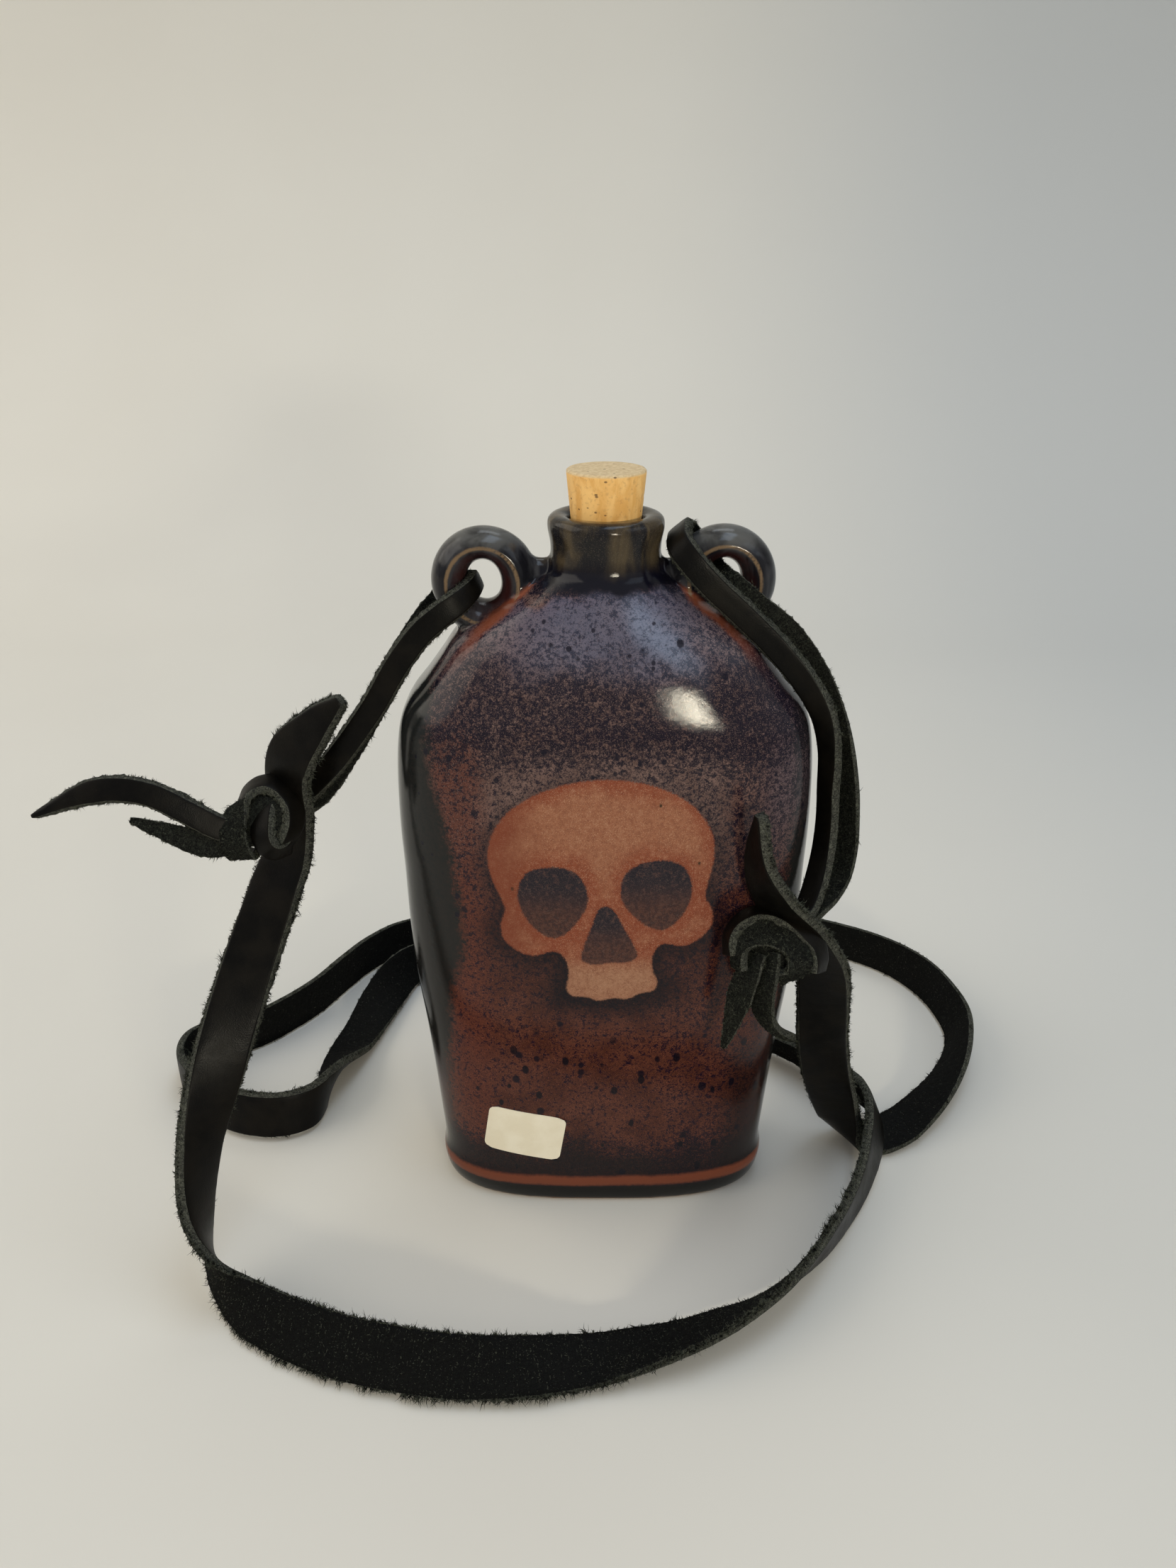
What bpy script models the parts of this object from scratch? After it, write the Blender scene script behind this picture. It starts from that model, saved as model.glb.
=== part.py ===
"""Glazed stoneware canteen with two pulled lugs, a cork and a knotted leather strap.

Builds every piece as its own closed solid, in metres, standing on z = 0 with the broad
face toward -Y and the strap laid out on the table around it.
"""
import math

import bpy
import bmesh
import numpy as np
from mathutils import Vector

for old in list(bpy.data.objects):
    bpy.data.objects.remove(old, do_unlink=True)

# Clearance between pieces that touch
GAP = 0.0003
LABEL_GAP = 0.00015
SEAT_LIFT = 0.0002

# Flask body: height of each level, half width, half depth
BODY_LEVELS = (
    (0.0000, 0.0525, 0.0250), (0.0015, 0.0540, 0.0258), (0.0045, 0.0549, 0.0264),
    (0.0100, 0.0556, 0.0270), (0.0125, 0.0550, 0.0263), (0.0170, 0.0548, 0.0264),
    (0.0280, 0.0556, 0.0270), (0.0430, 0.0567, 0.0280), (0.0640, 0.0585, 0.0293),
    (0.0840, 0.0606, 0.0304), (0.1030, 0.0616, 0.0312), (0.1220, 0.0619, 0.0318),
    (0.1360, 0.0623, 0.0322), (0.1510, 0.0621, 0.0323), (0.1620, 0.0614, 0.0319),
    (0.1700, 0.0600, 0.0311), (0.1755, 0.0574, 0.0302), (0.1810, 0.0530, 0.0290),
    (0.1880, 0.0479, 0.0272), (0.1946, 0.0430, 0.0250), (0.2010, 0.0336, 0.0224),
    (0.2070, 0.0248, 0.0196), (0.2110, 0.0190, 0.0176), (0.2130, 0.0162, 0.0162),
)
# How square each level is, 2 is a true oval
BODY_SQUARE_SHARES = (
    2.9, 2.9, 3.0, 3.1, 3.1, 3.1, 3.1, 3.1, 3.1, 3.1, 3.1, 3.1, 3.1, 3.1, 3.1, 3.1,
    3.1, 3.1, 3.1, 3.1, 2.9, 2.5, 2.15, 2.0,
)
BODY_WALL = 0.0050
BODY_FLOOR = 0.0060
BODY_AROUND = 60

# Inside of the flask: levels that the inner wall follows and where its neck begins
FIRST_INNER_LEVEL = 6
LAST_INNER_LEVEL = 20
BORE_DEPTH = 0.0060
INNER_SQUARE = 2.8
WALL_DROP_SHARE = 0.6
HEEL_SHARE = 1.2
HEEL_RISE_SHARE = 0.8
FLOOR_EDGE_SHARE = 2.2

# Neck collar with its rolled lip: radius and height above the shoulder seat
BORE_RADIUS = 0.01014
NECK_PROFILE = (
    (0.0160, 0.0000), (0.0157, 0.0018), (0.0155, 0.0042), (0.0156, 0.0072),
    (0.0161, 0.0096), (0.0165, 0.0118), (0.0163, 0.0137), (0.0152, 0.0148),
    (0.0136, 0.0151), (0.0119, 0.0149), (0.0106, 0.0143),
)
BORE_TOP_HEIGHT = 0.0134
NECK_AROUND = 48

# Pulled lugs: ring standing in the width plane, pointed at its front and back ridges
LUG_SEAT_FIRST_LEVEL = 12
LUG_FLATTEN_SHARE = 0.92
LEFT_LUG_OUT = 0.0345
LEFT_LUG_BELOW_SEAT = 0.0035
RIGHT_LUG_OUT = 0.0332
RIGHT_LUG_BELOW_SEAT = 0.0030
LUG_RING_HALF_WIDTH = 0.01005
LUG_RING_HALF_HEIGHT = 0.01065
LUG_HALF_THICK = 0.00505
LUG_HALF_DEPTH = 0.0080
LUG_RIDGE_SHARE = 0.72
LUG_AROUND = 36
LUG_SECTION = 16

# Tapered cork
CORK_TOP_OVER_BORE = 0.00096
CORK_END_UNDER_BORE = 0.00139
CORK_LENGTH = 0.0254
CORK_FIT = 0.0003
CORK_EDGE = 0.0004
CORK_AROUND = 40

# Wide leather strap
STRAP_WIDTH = 0.0170
STRAP_THICK = 0.0031
STRAP_STEPS = 212
STRAP_POINT_LENGTH = 0.0260
STRAP_POINT_SHARE = 0.20
STRAP_HOLE_RADIUS = 0.0046
HOLE_CUT_LENGTH = 0.0300
EDGE_SOFT_SHARE = 0.45
EDGE_TRIM_SHARE = 0.40

# Narrow thongs
THONG_WIDTH = 0.0080
THONG_THICK = 0.0026
THONG_STEPS = 96
PINCH_SHARE = 0.80
HOLE_PINCH_SHARE = 0.70

# Knots and tails
KNOT_CORE = (0.0080, 0.0080, 0.0042)
WRAP_STEPS = 15
KNOT_GAP = 0.0004
TAIL_WIDTH = 0.0080
TAIL_THICK = 0.0026
TAIL_POINT_LENGTH = 0.0200
TAIL_STEPS = 18

# Stuck-on paper label
LABEL_WIDTH = 0.0254
LABEL_HEIGHT = 0.01905
LABEL_THICK = 0.00025
LABEL_CORNER = 0.0026
LABEL_X = -0.0258
LABEL_Z = 0.0300
LABEL_TILT_DEGREES = -8.5

# Route of the wide strap, left tip to right tip, and the way its width lies at each point
STRAP_ROUTE = (
    (-0.0742, -0.0190, 0.1802), (-0.0826, -0.0172, 0.1718), (-0.0926, -0.0140, 0.1582),
    (-0.0948, -0.0105, 0.1410), (-0.0968, -0.0115, 0.1275), (-0.1010, -0.0165, 0.1165),
    (-0.1105, -0.0280, 0.0910), (-0.1170, -0.0395, 0.0705), (-0.1225, -0.0510, 0.0480),
    (-0.1230, -0.0605, 0.0275), (-0.1160, -0.0695, 0.0125), (-0.1030, -0.0785, 0.0088),
    (-0.0800, -0.0882, 0.0074), (-0.0627, -0.0927, 0.0072), (-0.0430, -0.0956, 0.0068),
    (-0.0235, -0.0944, 0.0050), (-0.0023, -0.0906, 0.0030), (0.0194, -0.0865, 0.0056),
    (0.0355, -0.0808, 0.0074), (0.0525, -0.0710, 0.0088), (0.0710, -0.0520, 0.0092),
    (0.0846, -0.0318, 0.0098), (0.0918, -0.0175, 0.0126), (0.0956, -0.0060, 0.0152),
    (0.0966, 0.0060, 0.0154), (0.0932, 0.0190, 0.0128), (0.0815, 0.0360, 0.0094),
    (0.0680, 0.0485, 0.0092), (0.0450, 0.0620, 0.0092), (0.0150, 0.0780, 0.0092),
    (-0.0150, 0.0920, 0.0092), (-0.0420, 0.1040, 0.0092), (-0.0620, 0.1100, 0.0092),
    (-0.0770, 0.1070, 0.0092), (-0.0860, 0.0965, 0.0084), (-0.0920, 0.0820, 0.0048),
    (-0.0955, 0.0680, 0.0028), (-0.0988, 0.0530, 0.0036), (-0.1015, 0.0360, 0.0072),
    (-0.1025, 0.0200, 0.0092), (-0.1075, 0.0100, 0.0092), (-0.1190, 0.0060, 0.0092),
    (-0.1340, 0.0090, 0.0092), (-0.1490, 0.0190, 0.0092), (-0.1595, 0.0320, 0.0092),
    (-0.1600, 0.0450, 0.0092), (-0.1505, 0.0530, 0.0092), (-0.1385, 0.0570, 0.0092),
    (-0.1270, 0.0685, 0.0092), (-0.1180, 0.0810, 0.0092), (-0.1100, 0.0970, 0.0092),
    (-0.1010, 0.1125, 0.0092), (-0.0870, 0.1255, 0.0092), (-0.0600, 0.1330, 0.0092),
    (-0.0200, 0.1360, 0.0092), (0.0200, 0.1360, 0.0092), (0.0600, 0.1340, 0.0092),
    (0.0900, 0.1295, 0.0092), (0.1100, 0.1215, 0.0092), (0.1275, 0.1090, 0.0092),
    (0.1390, 0.0930, 0.0090), (0.1440, 0.0750, 0.0089), (0.1445, 0.0600, 0.0087),
    (0.1395, 0.0445, 0.0079), (0.1310, 0.0300, 0.0065), (0.1205, 0.0175, 0.0048),
    (0.1095, 0.0080, 0.0028), (0.1000, 0.0030, 0.0021), (0.0930, 0.0015, 0.0026),
    (0.0872, 0.0005, 0.0064), (0.0838, -0.0010, 0.0140), (0.0800, -0.0032, 0.0260),
    (0.0760, -0.0065, 0.0400), (0.0728, -0.0105, 0.0560), (0.0706, -0.0150, 0.0750),
    (0.0680, -0.0205, 0.0910), (0.0635, -0.0265, 0.1020), (0.0568, -0.0322, 0.1135),
    (0.0480, -0.0368, 0.1262), (0.0430, -0.0384, 0.1392), (0.0424, -0.0390, 0.1540),
)
STRAP_ACROSS_SHARES = (
    (0.78, -0.35, -0.52), (0.76, -0.46, -0.46), (0.80, -0.53, -0.28),
    (0.87, -0.49, -0.03), (0.88, -0.46, -0.08), (0.95, -0.28, -0.12),
    (0.99, 0.02, -0.14), (0.93, 0.30, -0.22), (0.52, 0.75, -0.42),
    (0.16, 0.72, -0.68), (-0.36, 0.28, -0.89), (-0.42, -0.38, -0.82),
    (-0.27, -0.72, -0.64), (-0.13, -0.77, -0.62), (-0.04, -0.82, -0.57),
    (0.05, -0.94, -0.33), (0.12, -0.99, -0.03), (0.26, -0.89, 0.37),
    (0.34, -0.74, 0.58), (0.34, -0.44, 0.83), (0.13, -0.12, 0.98),
    (-0.04, 0.00, 1.00), (-0.22, 0.05, 0.97), (-0.33, 0.03, 0.94),
    (-0.38, -0.03, 0.92), (-0.38, -0.10, 0.92), (-0.38, -0.25, 0.89),
    (-0.25, -0.45, 0.86), (-0.05, -0.10, 1.00), (0.02, 0.08, 1.00),
    (0.02, 0.10, 1.00), (0.00, 0.10, 1.00), (0.00, 0.10, 1.00),
    (-0.10, 0.10, 0.98), (-0.60, 0.10, 0.78), (-0.93, 0.20, 0.30),
    (-0.97, 0.22, -0.04), (-0.94, 0.27, -0.17), (-0.72, 0.33, -0.60),
    (-0.20, -0.10, -0.97), (0.00, -0.20, -0.98), (0.02, -0.25, -0.97),
    (0.10, -0.30, -0.95), (0.10, -0.10, -0.99), (0.00, 0.00, -1.00),
    (0.00, 0.00, -1.00), (0.00, 0.00, -1.00), (0.00, 0.00, -1.00),
    (0.00, 0.00, -1.00), (0.00, 0.00, -1.00), (0.00, 0.00, -1.00),
    (0.00, 0.00, -1.00), (0.00, 0.00, -1.00), (0.00, 0.00, -1.00),
    (0.00, 0.00, -1.00), (0.00, 0.00, -1.00), (0.00, 0.00, -1.00),
    (0.00, 0.00, -1.00), (0.00, 0.00, -1.00), (-0.05, -0.05, -0.99),
    (-0.20, -0.10, -0.97), (-0.30, 0.05, -0.95), (-0.35, 0.25, -0.90),
    (-0.30, 0.60, -0.74), (-0.30, 0.80, -0.52), (-0.30, 0.92, -0.27),
    (-0.20, 0.98, -0.03), (-0.05, 1.00, 0.00), (0.00, 1.00, -0.06),
    (-0.20, 0.88, -0.40), (-0.60, 0.62, -0.50), (-0.86, 0.35, -0.28),
    (-0.97, 0.15, -0.12), (-1.00, 0.05, -0.05), (-0.97, 0.22, 0.00),
    (-0.88, 0.46, -0.05), (-0.82, 0.52, -0.15), (-0.76, 0.58, -0.25),
    (-0.55, 0.76, -0.34), (-0.38, 0.84, -0.39), (-0.30, 0.86, -0.41),
)
LEFT_HOLE_AT = (-0.0948, -0.0105, 0.1410)
RIGHT_HOLE_AT = (0.0568, -0.0322, 0.1135)
RIGHT_HOLE_OUT_SHARES = (-0.55, -0.75, -0.35)

# Routes of the two thongs, from the strap hole up to the lug and back to the hole
LEFT_THONG_ROUTE = (
    (-0.0952, -0.0111, 0.1424), (-0.0934, -0.0080, 0.1424), (-0.0912, -0.0046, 0.1440),
    (-0.0868, -0.0048, 0.1486), (-0.0802, -0.0070, 0.1564), (-0.0730, -0.0082, 0.1660),
    (-0.0664, -0.0092, 0.1756), (-0.0593, -0.0104, 0.1874), (-0.0520, -0.0112, 0.1970),
    (-0.0460, -0.0112, 0.2022), (-0.0412, -0.0098, 0.2054), (-0.0377, -0.0052, 0.2078),
    (-0.0366, 0.0000, 0.2090), (-0.0377, 0.0052, 0.2078), (-0.0414, 0.0098, 0.2050),
    (-0.0470, 0.0104, 0.2015), (-0.0535, 0.0090, 0.1945), (-0.0605, 0.0062, 0.1845),
    (-0.0675, 0.0028, 0.1730), (-0.0745, 0.0000, 0.1615), (-0.0812, -0.0016, 0.1510),
    (-0.0868, -0.0016, 0.1432), (-0.0905, -0.0034, 0.1398), (-0.0934, -0.0080, 0.1393),
    (-0.0952, -0.0111, 0.1393),
)
LEFT_THONG_ACROSS_SHARES = (
    (0.87, -0.49, 0.00), (0.87, -0.49, 0.00), (0.87, -0.44, -0.20),
    (0.80, -0.30, -0.50), (0.76, -0.15, -0.62), (0.74, -0.05, -0.67),
    (0.74, 0.00, -0.67), (0.74, 0.00, -0.67), (0.70, 0.00, -0.71),
    (0.58, 0.00, -0.81), (0.48, 0.00, -0.88), (0.40, 0.00, -0.92),
    (0.38, 0.00, -0.92), (0.40, 0.00, -0.92), (0.48, 0.00, -0.88),
    (0.58, 0.00, -0.81), (0.70, 0.05, -0.71), (0.74, 0.10, -0.67),
    (0.74, 0.10, -0.67), (0.78, 0.00, -0.62), (0.82, -0.20, -0.54),
    (0.86, -0.35, -0.36), (0.87, -0.46, -0.15), (0.87, -0.49, 0.00),
    (0.87, -0.49, 0.00),
)
RIGHT_THONG_ROUTE = (
    (0.0563, -0.0324, 0.1148), (0.0579, -0.0302, 0.1160), (0.0602, -0.0268, 0.1186),
    (0.0630, -0.0218, 0.1240), (0.0650, -0.0176, 0.1310), (0.0659, -0.0148, 0.1400),
    (0.0656, -0.0136, 0.1500), (0.0648, -0.0146, 0.1620), (0.0618, -0.0156, 0.1740),
    (0.0552, -0.0152, 0.1850), (0.0468, -0.0144, 0.1946), (0.0375, -0.0144, 0.2036),
    (0.0290, -0.0144, 0.2115), (0.0226, -0.0136, 0.2184), (0.0197, -0.0104, 0.2222),
    (0.0200, -0.0038, 0.2238), (0.0212, 0.0034, 0.2234), (0.0232, 0.0092, 0.2206),
    (0.0268, 0.0112, 0.2168), (0.0300, 0.0078, 0.2134), (0.0315, 0.0010, 0.2118),
    (0.0326, -0.0062, 0.2116), (0.0358, -0.0104, 0.2096), (0.0420, -0.0114, 0.2044),
    (0.0512, -0.0104, 0.1968), (0.0600, -0.0085, 0.1850), (0.0665, -0.0074, 0.1726),
    (0.0710, -0.0068, 0.1600), (0.0738, -0.0066, 0.1470), (0.0746, -0.0074, 0.1380),
    (0.0745, -0.0095, 0.1290), (0.0724, -0.0136, 0.1210), (0.0682, -0.0188, 0.1165),
    (0.0632, -0.0245, 0.1148), (0.0592, -0.0293, 0.1134), (0.0575, -0.0317, 0.1123),
)
RIGHT_THONG_ACROSS_SHARES = (
    (0.76, -0.58, 0.25), (0.76, -0.58, 0.25), (0.74, -0.60, 0.20),
    (0.68, -0.70, 0.10), (0.58, -0.81, 0.00), (0.55, -0.83, 0.00),
    (0.55, -0.83, 0.05), (0.60, -0.76, 0.20), (0.70, -0.52, 0.45),
    (0.75, -0.22, 0.62), (0.73, -0.05, 0.68), (0.70, 0.00, 0.71),
    (0.72, 0.00, 0.69), (0.75, 0.00, 0.66), (0.75, 0.00, 0.66),
    (0.75, 0.00, 0.66), (0.78, 0.00, 0.62), (0.80, 0.00, 0.60),
    (0.80, 0.00, 0.60), (0.78, 0.00, 0.62), (0.72, 0.00, 0.70),
    (0.68, 0.00, 0.73), (0.66, 0.00, 0.75), (0.66, 0.00, 0.75),
    (0.70, -0.05, 0.71), (0.74, -0.25, 0.62), (0.72, -0.52, 0.45),
    (0.60, -0.76, 0.20), (0.55, -0.83, 0.05), (0.55, -0.83, 0.00),
    (0.58, -0.80, 0.00), (0.64, -0.74, 0.10), (0.70, -0.68, 0.15),
    (0.74, -0.62, 0.20), (0.76, -0.58, 0.25), (0.76, -0.58, 0.25),
)

# Plane the knots face: to the right, up the slope and outward
KNOT_RIGHT_SHARES = (1.0, 0.0, 0.0)
KNOT_UP_SHARES = (0.0, 0.430, 0.903)
KNOT_NEAR_SHARES = (0.0, -0.903, 0.430)

# Knots: middle, then each wrap in that plane as lace middles and the way the width lies
LEFT_KNOT_AT = (-0.0998, -0.0198, 0.1418)
LEFT_HOLE_OUT_SHARES = (-0.49, -0.87, 0.05)
LEFT_CORE_AT = (0.0005, 0.0010, 0.0000)
LEFT_OUTER_WRAP = (
    (0.0050, -0.0065, -0.0015), (0.0069, -0.0040, -0.0006), (0.0086, 0.0002, -0.0003),
    (0.0082, 0.0048, -0.0003), (0.0058, 0.0089, -0.0003), (0.0020, 0.0115, -0.0002),
    (-0.0020, 0.0112, 0.0000), (-0.0050, 0.0088, 0.0004), (-0.0064, 0.0052, 0.0006),
    (-0.0068, 0.0018, 0.0002),
)
LEFT_OUTER_LAY_SHARES = (
    (-0.30, 0.10, 0.92), (-0.40, -0.02, 0.92), (-0.52, 0.00, 0.85), (-0.52, -0.13, 0.85),
    (-0.60, -0.22, 0.78), (-0.42, -0.48, 0.77), (-0.15, -0.60, 0.79), (0.10, -0.60, 0.79),
    (0.40, -0.30, 0.86), (0.50, -0.05, 0.86),
)
LEFT_INNER_WRAP = (
    (-0.0006, 0.0070, -0.0022), (-0.0010, 0.0042, 0.0014), (-0.0013, 0.0002, 0.0032),
    (-0.0015, -0.0045, 0.0036), (-0.0008, -0.0083, 0.0022), (0.0012, -0.0104, -0.0006),
    (0.0040, -0.0094, -0.0032),
)
LEFT_INNER_LAY_SHARES = (
    (0.75, 0.05, 0.60), (0.75, 0.05, 0.66), (0.75, 0.05, 0.66), (0.75, 0.05, 0.66),
    (0.72, 0.25, 0.64), (0.60, 0.55, 0.55), (0.40, 0.80, 0.35),
)
LEFT_COLLAR_WRAP = (
    (-0.0044, 0.0068, -0.0026), (-0.0059, 0.0064, 0.0008), (-0.0072, 0.0026, 0.0032),
    (-0.0080, -0.0020, 0.0039), (-0.0078, -0.0064, 0.0029), (-0.0068, -0.0096, -0.0002),
    (-0.0059, -0.0084, -0.0034),
)
LEFT_COLLAR_LAY_SHARES = (
    (0.45, 0.40, 0.80), (0.60, 0.40, 0.70), (0.90, 0.20, 0.35), (0.98, 0.10, 0.15),
    (0.98, 0.06, 0.10), (1.00, 0.05, 0.10), (1.00, 0.00, 0.10),
)
LEFT_LONG_TAIL = (
    (-0.1050, -0.0215, 0.1400), (-0.1120, -0.0235, 0.1420), (-0.1205, -0.0240, 0.1475),
    (-0.1300, -0.0240, 0.1530), (-0.1400, -0.0240, 0.1548), (-0.1500, -0.0240, 0.1530),
    (-0.1650, -0.0240, 0.1462),
)
LEFT_SHORT_TAIL = (
    (-0.1040, -0.0215, 0.1395), (-0.1110, -0.0235, 0.1372), (-0.1185, -0.0252, 0.1385),
    (-0.1270, -0.0262, 0.1425), (-0.1360, -0.0268, 0.1465),
)
LEFT_TAIL_ACROSS_SHARES = (0.05, 0.35, 0.94)
RIGHT_KNOT_AT = (0.0512, -0.0398, 0.1100)
RIGHT_CORE_AT = (-0.0020, 0.0020, -0.0010)
RIGHT_OUTER_WRAP = (
    (0.0109, -0.0060, -0.0022), (0.0113, -0.0023, -0.0018), (0.0103, 0.0019, -0.0015),
    (0.0075, 0.0054, -0.0009), (0.0032, 0.0088, -0.0012), (-0.0020, 0.0108, -0.0020),
    (-0.0073, 0.0109, -0.0024), (-0.0121, 0.0084, -0.0024), (-0.0148, 0.0041, -0.0026),
    (-0.0148, -0.0012, -0.0024),
)
RIGHT_OUTER_LAY_SHARES = (
    (-0.60, -0.20, 0.77), (-0.65, -0.16, 0.74), (-0.71, -0.16, 0.68), (-0.82, -0.20, 0.53),
    (-0.79, -0.20, 0.59), (-0.52, -0.29, 0.80), (-0.26, -0.39, 0.88), (-0.10, -0.42, 0.90),
    (0.15, -0.32, 0.93), (0.26, -0.34, 0.90),
)
RIGHT_INNER_WRAP = (
    (-0.0015, -0.0069, -0.0012), (0.0004, -0.0066, 0.0003), (0.0029, -0.0058, 0.0010),
    (0.0045, -0.0026, 0.0028), (0.0036, 0.0004, 0.0022), (0.0010, 0.0029, 0.0017),
    (-0.0024, 0.0049, 0.0020), (-0.0064, 0.0055, 0.0020), (-0.0100, 0.0043, 0.0014),
    (-0.0120, 0.0019, 0.0007), (-0.0124, -0.0014, 0.0003), (-0.0122, -0.0048, 0.0001),
)
RIGHT_INNER_LAY_SHARES = (
    (-0.15, -0.45, -0.90), (0.05, -0.40, -0.90), (0.50, -0.40, -0.76), (0.95, -0.05, -0.25),
    (0.85, 0.26, -0.45), (0.62, 0.52, -0.58), (0.36, 0.79, -0.50), (0.04, 0.87, -0.49),
    (-0.22, 0.72, -0.65), (-0.32, 0.46, -0.82), (-0.30, 0.20, -0.92), (-0.26, -0.06, -0.96),
)
RIGHT_LONG_TAIL = (
    (0.0437, -0.0405, 0.1105), (0.0420, -0.0425, 0.1055), (0.0402, -0.0422, 0.0985),
    (0.0388, -0.0412, 0.0900), (0.0374, -0.0405, 0.0820), (0.0362, -0.0400, 0.0765),
)
RIGHT_LONG_LAY_SHARES = (0.72, -0.53, 0.42)
RIGHT_SHORT_TAIL = (
    (0.0477, -0.0410, 0.1110), (0.0470, -0.0435, 0.1050), (0.0464, -0.0430, 0.0970),
    (0.0475, -0.0410, 0.0890), (0.0515, -0.0385, 0.0815), (0.0578, -0.0362, 0.0765),
)
RIGHT_SHORT_LAY_SHARES = (
    (0.65, -0.68, 0.33), (0.65, -0.68, 0.33), (0.62, -0.70, 0.30), (0.55, -0.74, 0.35),
    (0.45, -0.70, 0.55), (0.35, -0.55, 0.75),
)


def material(name, colour, rough, metal=0.0, coat=0.0):
    """One plain surface for one piece."""
    mat = bpy.data.materials.new(name)
    mat.use_nodes = True
    shader = mat.node_tree.nodes["Principled BSDF"]
    shader.inputs["Base Color"].default_value = (*colour, 1.0)
    shader.inputs["Roughness"].default_value = rough
    shader.inputs["Metallic"].default_value = metal
    shader.inputs["Coat Weight"].default_value = coat
    mat.diffuse_color = (*colour, 1.0)
    return mat


def add_solid(name, verts, faces, mat, origin=(0.0, 0.0, 0.0)):
    """Closed mesh from points and faces, normals outward, origin where asked."""
    home = Vector(origin)
    mesh = bpy.data.meshes.new(name)
    mesh.from_pydata([tuple(Vector(v) - home) for v in verts], [], faces)
    mesh.update()
    made = bmesh.new()
    made.from_mesh(mesh)
    bmesh.ops.recalc_face_normals(made, faces=made.faces)
    made.to_mesh(mesh)
    made.free()
    obj = bpy.data.objects.new(name, mesh)
    obj.location = home
    bpy.context.scene.collection.objects.link(obj)
    if mat is not None:
        mesh.materials.append(mat)
    return obj


def ring_chain(rings):
    """Faces that join equal rings in order, with both ends capped."""
    count = len(rings[0])
    verts = [tuple(p) for ring in rings for p in ring]
    faces = [tuple(range(count))]
    for level in range(len(rings) - 1):
        low = level * count
        high = low + count
        for i in range(count):
            j = (i + 1) % count
            faces.append((low + i, low + j, high + j, high + i))
    last = (len(rings) - 1) * count
    faces.append(tuple(range(last + count - 1, last - 1, -1)))
    return verts, faces


def oval(half_x, half_y, square, z, count):
    """Evenly spaced points round a squared oval."""
    turn = np.linspace(0.0, 2.0 * math.pi, 721)
    power = 2.0 / square
    xs = half_x * np.sign(np.cos(turn)) * np.abs(np.cos(turn)) ** power
    ys = half_y * np.sign(np.sin(turn)) * np.abs(np.sin(turn)) ** power
    run = np.concatenate(([0.0], np.cumsum(np.hypot(np.diff(xs), np.diff(ys)))))
    want = np.linspace(0.0, run[-1], count + 1)[:-1]
    return np.stack([np.interp(want, run, xs), np.interp(want, run, ys), np.full(count, z)], 1)


def level_at(z):
    """Half width, half depth and squareness of the flask at a height."""
    zs = [row[0] for row in BODY_LEVELS]
    half_x = float(np.interp(z, zs, [row[1] for row in BODY_LEVELS]))
    half_y = float(np.interp(z, zs, [row[2] for row in BODY_LEVELS]))
    return half_x, half_y, float(np.interp(z, zs, BODY_SQUARE_SHARES))


def front_y(x, z):
    """Front face of the flask at a point seen from the front."""
    half_x, half_y, square = level_at(z)
    inside = max(0.0, 1.0 - (abs(x) / half_x) ** square)
    return -half_y * inside ** (1.0 / square)


def boolean(target, tool, operation):
    """Exact cut or join that uses up the tool."""
    step = target.modifiers.new(operation, 'BOOLEAN')
    step.operation = operation
    step.solver = 'EXACT'
    step.object = tool
    tool.hide_render = True
    tool.display_type = 'WIRE'
    bpy.context.view_layer.update()
    graph = bpy.context.evaluated_depsgraph_get()
    done = bpy.data.meshes.new_from_object(target.evaluated_get(graph))
    target.modifiers.clear()
    plain = target.data
    target.data = done
    bpy.data.meshes.remove(plain)
    bpy.data.objects.remove(tool, do_unlink=True)


def smooth_route(points, steps):
    """Even points along a rounded curve through the hand-chosen points."""
    pts = np.array(points, float)
    ext = np.vstack([2 * pts[0] - pts[1], pts, 2 * pts[-1] - pts[-2]])
    fine, marks = [], []
    for i in range(len(pts) - 1):
        a, b, c, d = ext[i:i + 4]
        for k in range(12):
            u = k / 12.0
            fine.append(0.5 * ((2 * b) + (c - a) * u + (2 * a - 5 * b + 4 * c - d) * u * u
                               + (3 * b - a - 3 * c + d) * u ** 3))
            marks.append(i + u)
    fine.append(pts[-1])
    marks.append(len(pts) - 1.0)
    fine = np.array(fine)
    run = np.concatenate(([0.0], np.cumsum(np.linalg.norm(np.diff(fine, axis=0), axis=1))))
    want = np.linspace(0.0, run[-1], steps + 1)
    mark = np.interp(want, run, marks)
    path = np.stack([np.interp(want, run, fine[:, k]) for k in range(3)], 1)
    return path, mark, want


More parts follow.
